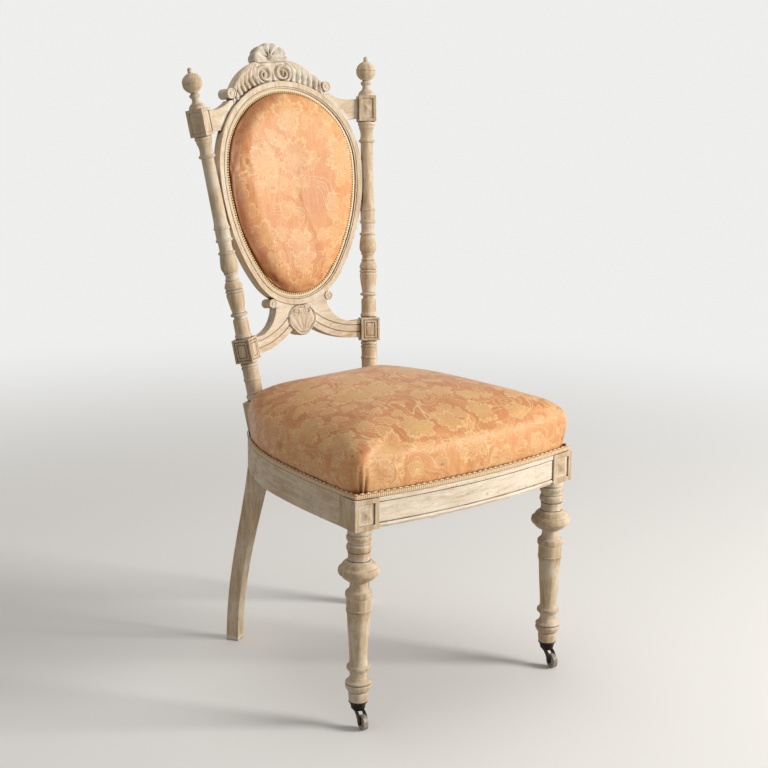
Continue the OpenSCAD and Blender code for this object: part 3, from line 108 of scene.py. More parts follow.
class Graph:
    """Builds a node material step by step."""

    def __init__(self, name):
        self.material = bpy.data.materials.new(name)
        self.material.use_nodes = True
        self.tree = self.material.node_tree
        self.tree.nodes.clear()
        out = self.tree.nodes.new("ShaderNodeOutputMaterial")
        self.shader = self.tree.nodes.new("ShaderNodeBsdfPrincipled")
        self.tree.links.new(self.shader.outputs[0], out.inputs[0])

    def put(self, socket, value):
        """Feeds an input from another node's output, or sets its value."""
        if isinstance(value, bpy.types.NodeSocket):
            self.tree.links.new(value, socket)
        elif isinstance(value, tuple) and len(value) == 3 and socket.type == "RGBA":
            socket.default_value = (*value, 1)
        else:
            socket.default_value = value

    def add(self, kind, inputs=None, **settings):
        node = self.tree.nodes.new("ShaderNode" + kind)
        for key, value in settings.items():
            setattr(node, key, value)
        for key, value in (inputs or {}).items():
            self.put(node.inputs[key], value)
        return node

    def math(self, operation, *values, clamp=False):
        node = self.add("Math", operation=operation, use_clamp=clamp)
        for i, value in enumerate(values):
            self.put(node.inputs[i], value)
        return node.outputs[0]

    def times(self, a, b):
        return self.math("MULTIPLY", a, b)

    def between(self, a, b):
        """How far apart two values are."""
        return self.math("ABSOLUTE", self.math("SUBTRACT", a, b))

    def wave(self, value, rate, kind="COSINE"):
        """The size, from 0 to 1, of a wave along a value."""
        return self.math("ABSOLUTE", self.math(kind, self.times(value, rate)))

    def highest(self, first, *others):
        for other in others:
            first = self.math("MAXIMUM", first, other)
        return first

    def vector(self, operation, *values):
        node = self.add("VectorMath", operation=operation)
        for i, value in enumerate(values):
            self.put(node.inputs[i], value)
        return node.outputs

    def parts(self, vector):
        return self.add("SeparateXYZ", {"Vector": vector}).outputs

    def hollow(self, distance):
        """Less than 1 where other surfaces lie closer than a distance."""
        return self.add("AmbientOcclusion", {"Distance": distance}, samples=6).outputs["AO"]

    def edges(self, radius, turned):
        """A mask of the edges that turn over within a radius, and the normal rounded there."""
        bevel = self.add("Bevel", {"Radius": radius}, samples=4).outputs[0]
        turn = self.vector("DOT_PRODUCT", bevel, self.add("NewGeometry").outputs["Normal"])["Value"]
        return self.span(turn, 0.995, turned), bevel

    def mix(self, factor, a, b):
        node = self.add("Mix", data_type="RGBA", blend_type="MIX", clamp_factor=True)
        for i, value in ((0, factor), (6, a), (7, b)):
            self.put(node.inputs[i], value)
        return node.outputs[2]

    def coats(self, base, *layers):
        """Colours of 0 to 255 laid over a base in turn, each by its mask."""
        for mask, colour in layers:
            base = self.mix(mask, base, srgb(*colour))
        return base

    def span(self, value, low, high, to_low=0.0, to_high=1.0):
        """value's place between low and high, smoothed, mapped to the other two numbers."""
        node = self.add("MapRange", interpolation_type="SMOOTHSTEP")
        for i, v in enumerate((value, low, high, to_low, to_high)):
            self.put(node.inputs[i], v)
        return node.outputs[0]

    def noise(self, vector, scale, detail=3.0, roughness=0.5, distortion=0.0, output="Fac"):
        node = self.add("TexNoise", {
            "Vector": vector, "Scale": scale, "Detail": detail, "Roughness": roughness, "Distortion": distortion,
        })
        return node.outputs[output]

    def stretched(self, vector, scale):
        return self.add("Mapping", {"Vector": vector, "Scale": scale}).outputs[0]

    def bump(self, height, distance, strength=1.0, normal=None):
        node = self.add("Bump", {"Height": height, "Distance": distance, "Strength": strength})
        if normal is not None:
            self.put(node.inputs["Normal"], normal)
        return node.outputs[0]

    def finish(self, **values):
        for key, value in values.items():
            self.put(self.shader.inputs[key.replace("_", " ")], value)
        return self.material


def srgb(r, g, b):
    """A colour of the photograph's kind, 0 to 255, as linear light."""
    return tuple((c / 255 / 12.92) if c <= 10 else ((c / 255 + 0.055) / 1.055) ** 2.4 for c in (r, g, b))


CHALK, RUBBED, PORES, SPECKS = (236, 225, 207), (170, 140, 104), (146, 120, 88), (140, 112, 82)
EDGE_WHITE, WAX_WHITE, GROOVE_BROWN = (238, 226, 204), (240, 234, 222), (112, 84, 56)


def wood(name, grain, light=(232, 214, 188), dark=(204, 180, 147), worn=0.45, wax=0.75):
    """Limed, worn wood: chalky wash rubbed through along the grain, brown in the grooves beside white wax."""
    g = Graph(name)
    where = g.add("TexCoord").outputs["Object"]
    fibres = g.noise(g.stretched(where, grain), 9.0, 7.0, 0.68, 0.3)
    fine = g.noise(g.stretched(where, tuple(3 * s for s in grain)), 22.0, 3.0, 0.6)
    streaks = g.noise(g.stretched(where, tuple(0.6 * s for s in grain)), 8.0, 5.0, 0.7, 0.4)
    patch = g.noise(where, 34.0, 3.0, 0.6)
    spots = g.noise(where, 95.0, 4.0, 0.65)
    edge, bevel = g.edges(0.0011, 0.90)
    near, broad = g.hollow(0.0035), g.hollow(0.011)
    groove = g.highest(g.span(near, 0.76, 0.50), g.span(broad, 0.62, 0.36))
    beside = g.times(g.span(broad, 0.94, 0.82), g.span(near, 0.66, 0.80))
    body = g.coats(
        g.mix(g.span(fibres, 0.34, 0.66), srgb(*dark), srgb(*light)),
        (g.span(g.noise(where, 15.0, 5.0, 0.6), 0.46, 0.66, 0.0, 0.55), CHALK),
        (g.span(streaks, 0.52, 0.70, 0.0, worn), RUBBED),
        (g.span(fine, 0.56, 0.70, 0.0, 0.45), PORES),
        (g.span(spots, 0.62, 0.72, 0.0, 0.40), SPECKS),
        (g.times(edge, 0.75), EDGE_WHITE),
        (g.times(beside, g.span(patch, 0.38, 0.58, 0.15, wax)), WAX_WHITE),
        (g.times(groove, g.span(patch, 0.36, 0.62, 0.95, 0.62)), GROOVE_BROWN),
    )
    rough = g.span(fibres, 0.3, 0.7, 0.52, 0.70)
    grain_height = g.math("ADD", g.times(fine, -0.6), g.times(fibres, 0.5))
    normal = g.bump(grain_height, 0.0006, 0.5, bevel)
    return g.finish(Base_Color=body, Roughness=rough, Normal=normal, Specular_IOR_Level=0.30)


def sprays(g, at, scale, lobes, size, loose=0.75):
    """Leafy flowers strewn over the cloth, one in each cell: their mask, their outline and their veins."""
    cells = g.add("TexVoronoi", {"Vector": at, "Scale": scale, "Randomness": loose}, voronoi_dimensions="2D")
    away = g.vector("SUBTRACT", at, cells.outputs["Position"])[0]
    radius = g.vector("LENGTH", away)["Value"]
    parts = g.parts(away)
    own = g.add("SeparateColor", {"Color": cells.outputs["Color"]})
    spin = g.math("MULTIPLY_ADD", own.outputs[0], 6.3, g.math("ARCTAN2", parts[1], parts[0]))
    lobe, teeth = g.wave(spin, lobes / 2), g.wave(spin, lobes * 2.5)
    reach = g.math("MULTIPLY_ADD", lobe, 0.44, g.math("MULTIPLY_ADD", teeth, 0.16, 0.40))
    reach = g.times(reach, g.math("MULTIPLY_ADD", own.outputs[1], 0.5 * size, 0.7 * size))
    place = g.math("DIVIDE", radius, reach)
    mask = g.span(place, 1.03, 0.93)
    rim = g.times(g.span(place, 0.98, 1.06), g.span(place, 1.26, 1.16))
    swirl = g.math("MULTIPLY_ADD", radius, 2.5 / size, g.times(spin, lobes * 1.5))
    rays = g.math("ABSOLUTE", g.math("SINE", swirl))
    rings = g.wave(place, 8.0, "SINE")
    veins = g.highest(g.span(rays, 0.38, 0.10), g.span(rings, 0.34, 0.08))
    return mask, rim, g.times(veins, mask)


def contour(g, field, level, half):
    """A thin line where a field passes a level."""
    return g.span(g.between(field, level), half, 0.4 * half)


def damask_figure(g, uv):
    """Masks of the woven figure: leafy flowers among scrolling stems, and the thin lines round and in them."""
    warp = g.noise(uv, 9.0, 2.0, 0.5, 0.0, "Color")
    at = g.vector("MULTIPLY_ADD", warp, (0.038, 0.038, 0.0), uv)[0]
    big, big_rim, big_veins = sprays(g, at, 10.5, 5, 0.031)
    turned = {"Vector": at, "Location": (0.31, 0.17, 0.0), "Rotation": (0.0, 0.0, 0.9)}
    small, small_rim, small_veins = sprays(g, g.add("Mapping", turned).outputs[0], 26.0, 3, 0.013, 1.0)
    field = g.noise(at, 13.0, 1.0, 0.4, 0.7)
    stems = g.highest(*(contour(g, field, level, 0.011) for level in (0.45, 0.55)))
    twin = g.highest(*(contour(g, field, level, 0.004) for level in (0.41, 0.475, 0.525, 0.59)))
    curl = g.span(g.wave(g.noise(at, 34.0, 1.0, 0.4, 1.2), 40.0, "SINE"), 0.30, 0.06)
    free = g.math("SUBTRACT", 1.0, big)
    figure = g.highest(big, g.times(small, free), g.times(stems, free))
    lines = g.highest(big_rim, g.times(free, g.highest(twin, small_rim)))
    inner = g.highest(big_veins, g.times(free, small_veins))
    return figure, lines, inner, g.times(curl, free)


def damask(name, plain=False, stains=()):
    """Apricot satin damask: a paler woven figure, ribs, brown stains round given places, and painted shade on upward
    faces, where other surfaces lie close and along the pad's rim.
    """
    g = Graph(name)
    coords = g.add("TexCoord")
    uv, where = coords.outputs["UV"], coords.outputs["Object"]
    ribs = g.noise(g.stretched(uv, (520.0, 26.0, 1.0)), 1.0, 2.0, 0.6)
    threads = g.noise(g.stretched(uv, (120.0, 1500.0, 1.0)), 1.0, 2.0, 0.6)
    cloudy = g.noise(where, 9.0, 4.0, 0.6)
    # Painted shade: upward faces are coloured darker and more golden, as they take less light than the sides; more of
    # the figure shows there too.
    top = g.span(g.parts(g.add("NewGeometry").outputs["Normal"])[2], 0.35, 0.95)
    ground = g.mix(g.span(cloudy, 0.34, 0.66), srgb(208, 132, 74), srgb(226, 156, 96))
    cloth = ground = g.coats(ground, (g.times(top, 0.8), (194, 122, 70)),
                             (g.span(ribs, 0.42, 0.68, 0.0, 0.42), (240, 188, 136)))
    height = g.math("ADD", g.times(ribs, 0.6), g.times(threads, 0.5))
    if not plain:
        figure, lines, inner, curl = damask_figure(g, uv)
        pale = g.mix(g.span(threads, 0.35, 0.65), srgb(232, 184, 126), srgb(242, 202, 148))
        pale = g.mix(g.times(top, 0.85), pale, srgb(222, 182, 118))
        wear = g.span(g.noise(where, 13.0, 3.0, 0.6), 0.34, 0.62, 0.25, 0.70)
        wear = g.math("MULTIPLY_ADD", top, 0.22, wear, clamp=True)
        cloth = g.coats(g.mix(g.times(figure, wear), ground, pale), (g.times(curl, 0.42), (238, 192, 136)),
                        (g.times(lines, 0.55), (246, 212, 158)), (g.times(inner, 0.62), (204, 132, 72)))
        height = g.math("ADD", height, g.times(figure, 0.7))
    # Painted shade along the pad's rim, stronger on its left side, read from a point attribute and made uneven with
    # noise; the seat has no such attribute, so none there.
    rim_shade = g.add("Attribute", attribute_name="rim_shade").outputs["Fac"]
    rim_shade = g.math("MULTIPLY_ADD", g.noise(where, 42.0, 3.0, 0.65), 0.13, rim_shade)
    # Painted shade: the cloth is coloured brown where other surfaces lie close, such as beside the gimp and round the
    # pad's rim.
    cloth = g.coats(cloth, (g.span(g.hollow(0.030), 0.86, 0.40, 0.0, 0.80), (150, 86, 44)),
                    (g.span(rim_shade, 0.85, 1.02, 0.0, 0.84), (140, 76, 36)),
                    (g.span(g.noise(where, 30.0, 3.0, 0.7), 0.66, 0.74, 0.0, 0.45), (150, 84, 48)))
    ragged = g.noise(where, 60.0, 4.0, 0.7, 0.0, "Color")
    for place, reach, depth in stains:
        bent = g.vector("MULTIPLY_ADD", ragged, (0.030, 0.030, 0.030), where)[0]
        off = g.vector("DISTANCE", bent, tuple(c + 0.015 for c in place))["Value"]
        cloth = g.coats(cloth, (g.span(off, 0.9 * reach, 0.2 * reach, 0.0, 0.75 * depth), (150, 78, 30)))
    normal = g.bump(height, 0.0004, 0.6)
    rough = g.span(cloudy, 0.3, 0.7, 0.44, 0.56)
    return g.finish(Base_Color=cloth, Roughness=rough, Normal=normal, Specular_IOR_Level=0.42,
                    Sheen_Weight=0.18, Sheen_Roughness=0.45)


def braid(name, loop, light, dark, gap, line_at, line_half):
    """Gimp: fine ribs across a strip, a dark wavy line near one edge, and painted shade where other surfaces lie
    close. loop is the wave's length.
    """
    g = Graph(name)
    uv = g.add("TexCoord").outputs["UV"]
    along, across = g.parts(uv)[:2]
    ribs = g.math("SINE", g.times(along, 6 * math.pi / loop))
    strands = g.noise(g.stretched(uv, (700.0, 300.0, 1.0)), 1.0, 3.0, 0.6)
    thread = g.math("MULTIPLY_ADD", g.wave(along, math.pi / loop, "SINE"), -0.0014, line_at)
    off = g.between(across, thread)
    colour = g.coats(
        g.mix(g.span(strands, 0.35, 0.65), srgb(*dark), srgb(*light)),
        (g.span(ribs, -0.2, -0.9, 0.0, 0.45), gap),
        (g.span(off, line_half, 0.4 * line_half, 0.0, 0.9), gap),
        # Painted shade: brown where other surfaces lie close, as in the recess the gimp sits in.
        (g.span(g.hollow(0.0025), 0.70, 0.30, 0.0, 0.8), (104, 70, 42)),
    )
    normal = g.bump(g.math("ADD", g.times(ribs, 0.5), strands), 0.0004, 0.6)
    return g.finish(Base_Color=colour, Roughness=0.72, Normal=normal, Sheen_Weight=0.15)


def beads(name):
    """Back gimp: a plain pale band, and a row of gold beads on a brown band of painted shade beside the stuffing."""
    g = Graph(name)
    along, across = g.parts(g.add("TexCoord").outputs["UV"])[:2]
    bead = g.math("COSINE", g.times(along, 2 * math.pi / BEAD_PITCH))
    row = g.span(g.between(across, BEAD_LINE * BACK_GIMP_W), 0.0024, 0.0014)
    # Painted shade: the half of the band beside the stuffing is brown, standing in for the shade at the pad's edge
    # behind the beads.
    band = g.span(across, 0.42 * BACK_GIMP_W, 0.50 * BACK_GIMP_W)
    colour = g.mix(band, srgb(232, 212, 178), srgb(132, 88, 50))
    colour = g.coats(colour, (g.times(row, g.span(bead, -0.35, 0.25)), (250, 224, 160)))
    normal = g.bump(g.times(bead, row), 0.0004, 0.5)
    return g.finish(Base_Color=colour, Roughness=0.6, Normal=normal, Sheen_Weight=0.15)


def jute(name, light, dark):
    """Plain woven jute: two crossing sets of threads."""
    g = Graph(name)
    uv = g.add("TexCoord").outputs["UV"]
    warp, weft = (g.math("SINE", g.times(part, 2 * math.pi / JUTE_PITCH)) for part in g.parts(uv)[:2])
    weave = g.times(warp, weft)
    hairs = g.noise(g.stretched(uv, (300.0, 80.0, 1.0)), 1.0, 4.0, 0.7)
    colour = g.coats(g.mix(g.span(hairs, 0.35, 0.65), srgb(*dark), srgb(*light)),
                     (g.span(weave, -1.0, 0.2, 0.5, 0.0), (84, 62, 38)))
    normal = g.bump(g.math("ADD", weave, hairs), 0.0005, 0.7)
    return g.finish(Base_Color=colour, Roughness=0.88, Normal=normal)


def metal(name, colour, worn, roughness, metallic=0.85):
    """Old metal: dark skin, rubbed bright at the edges, with soft blotches."""
    g = Graph(name)
    where = g.add("TexCoord").outputs["Object"]
    blotch = g.noise(where, 180.0, 4.0, 0.6)
    edge, bevel = g.edges(0.0005, 0.88)
    skin = g.mix(g.span(blotch, 0.38, 0.64), srgb(*colour), tuple(0.55 * c for c in srgb(*colour)))
    skin = g.coats(skin, (g.times(edge, 0.8), worn))
    rough = g.span(blotch, 0.3, 0.7, roughness - 0.08, roughness + 0.12)
    normal = g.bump(blotch, 0.0002, 0.5, bevel)
    return g.finish(Base_Color=skin, Roughness=rough, Metallic=metallic, Normal=normal)


UPRIGHT = (14.0, 14.0, 1.6)
CROSSWISE = (1.6, 14.0, 14.0)
FORE_AND_AFT = (14.0, 1.6, 14.0)
STAINS = [((-0.2225, -0.0540, 0.4263), 0.017, 0.65), ((-0.2333, -0.1972, 0.4527), 0.015, 0.60),
          ((-0.1854, -0.2726, 0.4594), 0.008, 0.45), ((-0.0074, -0.2863, 0.4603), 0.007, 0.50),
          ((-0.2210, -0.0100, 0.4130), 0.012, 0.45)]
LOOKS = {
    "upright": wood("limed_wood_upright", UPRIGHT, (226, 205, 175), (194, 167, 132), 0.55),
    "leg": wood("limed_wood_leg", UPRIGHT, (220, 198, 166), (186, 158, 122), 0.70),
    "hoop": wood("limed_wood_hoop", UPRIGHT, (232, 212, 182), (206, 180, 146), 0.35),
    "crosswise": wood("limed_wood_crosswise", CROSSWISE),
    # Painted light: the front rail has a paler copy of the crosswise wood, as it faces the key lamp; it is also less
    # worn and more waxed.
    "front": wood("limed_wood_front_painted_light", CROSSWISE, (244, 230, 210), (222, 202, 174), 0.35, 0.85),
    "side": wood("limed_wood_side", FORE_AND_AFT),
    "carved": wood("limed_carving", UPRIGHT, (226, 207, 180), (192, 166, 134), 0.40, 0.95),
    "shell": wood("limed_shell", UPRIGHT, (222, 208, 190), (186, 168, 150), 0.30, 0.95),
    "raw": wood("raw_wood", CROSSWISE, (196, 160, 112), (160, 122, 80), 0.3, 0.0),
    "damask": damask("apricot_damask", stains=STAINS),
    "satin": damask("apricot_satin", plain=True),
    "braid": braid("gold_braid", GIMP_LOOP, (240, 214, 176), (224, 190, 146), (150, 108, 68), 0.0092, 0.0008),
    "oval_braid": beads("oval_braid"),
    "hessian": jute("hessian_cloth", (188, 156, 110), (146, 112, 70)),
    "webbing": jute("jute_webbing", (196, 170, 128), (150, 120, 80)),
    "iron": metal("dark_iron", (54, 46, 40), (168, 150, 128), 0.42),
    "wheel": metal("pale_wheel", (178, 168, 154), (206, 198, 184), 0.55, 0.3),
    "wire": metal("spring_wire", (112, 104, 96), (170, 160, 148), 0.40),
}
NODE_LOOKS = {
    "upright": ["left_rear_post", "right_rear_post", "left_finial", "right_finial"],
    "leg": ["left_front_leg", "right_front_leg"],
    "hoop": ["left_oval_hoop", "right_oval_hoop"],
    "crosswise": ["crest_rail", "lower_rail", "rear_rail"],
    "front": ["front_rail"],
    "side": ["left_side_rail", "right_side_rail"],
    "raw": ["corner_blocks", "rail_dowels", "back_dowels"],
    "iron": ["left_caster_socket", "right_caster_socket", "left_caster_horn", "right_caster_horn",
             "left_caster_pin", "right_caster_pin"],
    "wheel": ["left_caster_wheel", "right_caster_wheel"],
    "wire": ["corner_block_screws"],
}
for look, names in NODE_LOOKS.items():
    for name in names:
        NODES[name].data.materials.clear()
        NODES[name].data.materials.append(LOOKS[look])


# Places on the raked, hollow back


def on_back(u, y, v):
    """A point of the back's own frame: u across, y to the rear, v up the back from the rails' top."""
    c, s = math.cos(RAKE), math.sin(RAKE)
    return Vector((u, SHIFT_Y + SEAT_D + y * c + v * s, RAIL_TOP + v * c - y * s))


def on_hollow(u, v, depth, r=HOLLOW_R, at=HOLLOW_SET):
    """A point at a depth behind the hollow face of the back."""
    return on_back(u, at - r + math.sqrt((r + depth) ** 2 - u * u), v)


def on_crest(u, v, depth):
    """A point at a depth behind the face of the crest's dome, which leans further back."""
    y = HOLLOW_SET - HOLLOW_R + math.sqrt((HOLLOW_R + CREST_SET + depth) ** 2 - u * u) - CREST_FACE
    c, s = math.cos(CREST_LEAN), math.sin(CREST_LEAN)
    return on_back(u, CREST_FACE + y * c + (v - DOME_V) * s, DOME_V + (v - DOME_V) * c - y * s)


def on_lower(u, v, depth):
    """A point at a depth behind the lower rail's face."""
    return on_hollow(u, v, depth, LOWER_R, LOWER_SET)


SIDE_X = OVAL_SIDE_R - OVAL_R
TOE_R = (OVAL_SIDE_R**2 - SIDE_X**2 - OVAL_DROP**2) / (2 * (OVAL_SIDE_R - OVAL_DROP))
TOE_V = OVAL_MID - OVAL_DROP + TOE_R
TOE_ANGLE = math.atan2(OVAL_MID - TOE_V, SIDE_X)


def oval_point(turn, inset):
    """A point of the oval at a turn from its top, clockwise from 0 to 1, and an inset from its edge."""
    side = 1 if turn <= 0.5 else -1
    angle = math.pi / 2 - 2 * math.pi * (turn if turn <= 0.5 else 1 - turn)
    if angle >= 0:
        u, v = (OVAL_R - inset) * math.cos(angle), OVAL_MID + (OVAL_R - inset) * math.sin(angle)
    elif angle >= -TOE_ANGLE:
        u = (OVAL_SIDE_R - inset) * math.cos(angle) - SIDE_X
        v = OVAL_MID + (OVAL_SIDE_R - inset) * math.sin(angle)
    else:
        u, v = (TOE_R - inset) * math.cos(angle), TOE_V + (TOE_R - inset) * math.sin(angle)
    return side * u, v


# Meshes


def linked(name, data):
    """A new object in the scene."""
    thing = bpy.data.objects.new(name, data)
    bpy.context.scene.collection.objects.link(thing)
    return thing


def new_piece(name, points, faces, look, uvs=None):
    """A smooth mesh piece with one material. uvs holds one pair for each point."""
    mesh = bpy.data.meshes.new(name)
    mesh.from_pydata([tuple(p) for p in points], [], faces)
    mesh.validate()
    mesh.materials.append(LOOKS[look])
    mesh.shade_smooth()
    piece = linked(name, mesh)
    if uvs is not None:
        set_uvs(piece, uvs)
    return piece


def copied(name, node, look):
    """A piece that starts as a copy of a soft solid."""
    piece = linked(name, NODES[node].data.copy())
    piece.data.materials.clear()
    piece.data.materials.append(LOOKS[look])
    return piece


def set_uvs(piece, uvs):
    layer = piece.data.uv_layers.new(name="cloth") if not piece.data.uv_layers else piece.data.uv_layers[0]
    corner = np.empty(len(piece.data.loops), np.int32)
    piece.data.loops.foreach_get("vertex_index", corner)
    layer.data.foreach_set("uv", np.asarray(uvs, np.float32)[corner].ravel())


def on_frame(piece, slot, *nodes):
    """Attaches a piece to the frame, and hides the solids that it stands for."""
    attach(piece, "frame")
    if nodes:
        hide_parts(*nodes)
    return piece


def grid_faces(rows, columns, closed=False):
    """Quads between rows of points; closed joins each row's end to its start."""
    wide = columns if closed else columns - 1
    corners = ((r * columns, c, (c + 1) % columns) for r in range(rows - 1) for c in range(wide))
    return [(r + c, r + d, r + columns + d, r + columns + c) for r, c, d in corners]


def end_faces(count, ring):
    """Faces that close the first and the last ring of some points."""
    return [tuple(range(ring)), tuple(reversed(range(count - ring, count)))]


def shifted(faces, base):
    """Faces whose points are numbered from a base."""
    return [tuple(base + k for k in f) for f in faces]


@contextmanager
def editing(piece):
    """The piece's mesh for editing, written back smooth, with its faces agreed on which side is out."""
    mesh = bmesh.new()
    mesh.from_mesh(piece.data)
    mesh.verts.ensure_lookup_table()
    yield mesh
    bmesh.ops.recalc_face_normals(mesh, faces=mesh.faces)
    mesh.to_mesh(piece.data)
    mesh.free()
    piece.data.shade_smooth()


def facing_out(piece):
    """The piece, with its faces turned outward."""
    with editing(piece):
        pass
    return piece


def tube(points, radius, sides):
    """Points and faces of a tube along a list of points, with closed ends."""
    rings = []
    for i, p in enumerate(points):
        ahead = (points[min(i + 1, len(points) - 1)] - points[max(i - 1, 0)]).normalized()
        side = ahead.cross(Vector((0, 0, 1))).normalized()
        up = side.cross(ahead)
        for k in range(sides):
            a = 2 * math.pi * k / sides
            rings.append(p + radius * (side * math.cos(a) + up * math.sin(a)))
    return rings, grid_faces(len(points), sides, closed=True) + end_faces(len(rings), sides)


# Stuffed pieces


def apply_modifiers(piece):
    view = bpy.context.evaluated_depsgraph_get()
    mesh = bpy.data.meshes.new_from_object(piece.evaluated_get(view))
    old = piece.data
    piece.modifiers.clear()
    piece.data = mesh
    bpy.data.meshes.remove(old)


def smooth(piece, name, iterations):
    modifier = piece.modifiers.new(name, "SMOOTH")
    modifier.factor = 0.5
    modifier.iterations = iterations


CLOTH_FRAMES = 20


def inflate(piece, held, pressure, cap):
    """Swells a closed mesh by cloth simulation, where held(point) is 0. No point moves further than the cap."""
    start = [v.co.copy() for v in piece.data.vertices]
    group = piece.vertex_groups.new(name="held")
    for i, p in enumerate(start):
        weight = held(p)
        if weight > 0:
            group.add([i], weight, "REPLACE")
    cloth = piece.modifiers.new("cloth", "CLOTH")
    cloth.settings.vertex_group_mass = "held"
    cloth.settings.use_pressure = True
    cloth.settings.uniform_pressure_force = pressure
    cloth.settings.tension_stiffness = 25
    cloth.settings.compression_stiffness = 12
    cloth.settings.bending_stiffness = 1.2
    cloth.settings.shrink_min = -0.01
    cloth.settings.effector_weights.gravity = 0
    cloth.point_cache.frame_start = 1
    cloth.point_cache.frame_end = CLOTH_FRAMES
    scene = bpy.context.scene
    for frame_number in range(1, CLOTH_FRAMES + 1):
        scene.frame_set(frame_number)
    apply_modifiers(piece)
    scene.frame_set(1)
    for v, p in zip(piece.data.vertices, start):
        move = v.co - p
        if move.length > cap:
            v.co = p + move * (cap / move.length)
    return piece


SEAT_EDGE_Z = 0.462
SEAT_VOXEL = 0.006
SEAT_PRESSURE, SEAT_SWELL = 3.0, 0.006
GIMP_TOP = RAIL_TOP + GIMP_H


def seat_held(p):
    """1 where the seat's cover is tacked, along the rails."""
    return 1.0 if p.z < GIMP_TOP + 0.004 else 0.0


CORNER = (LEG_SPACING / 2 - 0.006, SHIFT_Y - 0.002)
PLEAT_ANGLES = (-62.0, -38.0)
PLEAT_WIDTH = 5.0
PLEAT_DEPTH = 0.0040


def pleats(p):
    """How far a point of the seat is drawn in by the two pleats at its front corner."""
    x, y = abs(p.x) - CORNER[0], p.y - CORNER[1]
    angle = math.degrees(math.atan2(y, x))
    reach = math.hypot(x, y)
    if reach > 0.05 or reach < 1e-4:
        return Vector((0, 0, 0))
    fade = max(0.0, min(1.0, (0.447 - p.z) / 0.035)) * min(1.0, reach / 0.012)
    fold = sum(math.exp(-(((angle - a) / PLEAT_WIDTH) ** 2)) for a in PLEAT_ANGLES)
    puff = math.exp(-(((angle + 50) / 7.0) ** 2)) * 0.35
    out = Vector((math.copysign(x, p.x), y, 0)) / reach
    return out * (puff - fold) * PLEAT_DEPTH * fade


TACKS, TACK_PULL, TACK_REACH = 54, 0.0009, 0.030


def tack_pulls(p):
    """Small draws in the cover along the gimp, where each tack pulls it."""
    if not GIMP_TOP - 0.001 < p.z < GIMP_TOP + TACK_REACH:
        return 0.0
    around = math.atan2(p.y - SEAT_MIDDLE.y, p.x)
    fade = 1 - (p.z - GIMP_TOP) / TACK_REACH
    return -TACK_PULL * max(0.0, fade) * (0.5 + 0.5 * math.cos(TACKS * around + 1.3 * math.sin(7 * around)))


def make_seat():
    """The stuffed seat: its solid remeshed, swelled above the tacks, then pleated at the front corners."""
    piece = copied("seat_stuffing", "seat_cushion", "damask")
    remesh = piece.modifiers.new("remesh", "REMESH")
    remesh.mode = "VOXEL"
    remesh.voxel_size = SEAT_VOXEL
    remesh.use_smooth_shade = True
    apply_modifiers(piece)
    smooth(piece, "even", 6)
    apply_modifiers(piece)
    inflate(piece, seat_held, SEAT_PRESSURE, SEAT_SWELL)
    smooth(piece, "settle", 4)
    divide = piece.modifiers.new("divide", "SUBSURF")
    divide.levels = divide.render_levels = 1
    apply_modifiers(piece)
    piece.data.shade_smooth()
    outs = [Vector((v.normal.x, v.normal.y, 0)) for v in piece.data.vertices]
    for v, out in zip(piece.data.vertices, outs):
        v.co += pleats(v.co) + out * tack_pulls(v.co)
    uvs = []
    for v in piece.data.vertices:
        drop = max(0.0, SEAT_EDGE_Z + 0.008 - v.co.z)
        side = Vector((v.normal.x, v.normal.y))
        out = side.normalized() * drop if side.length > 1e-6 else Vector((0, 0))
        uvs.append((v.co.x + out.x + 1.0, v.co.y + out.y + 1.0))
    set_uvs(piece, uvs)
    return on_frame(piece, "damask", "seat_cushion")


PAD_INSET = BAND_W + BACK_GIMP_W + 2 * SOFT_GAP
PAD_CENTRE_V = OVAL_MID - 0.12 * OVAL_DROP
PAD_BACK_ROWS = 14
PAD_HELD_ROWS = PAD_BACK_ROWS + 3
PAD_PRESSURE, PAD_SWELL = 2.5, 0.004
# The pad's profile from rim to middle, as shares of the oval and of the pad's height
PAD_SHARES = [1, 1, 0.985, 0.95, 0.88, 0.76, 0.6, 0.4, 0.2, 0]
PAD_RISES = [0, 0.24, 0.44, 0.62, 0.78, 0.89, 0.96, 0.99, 1, 1]


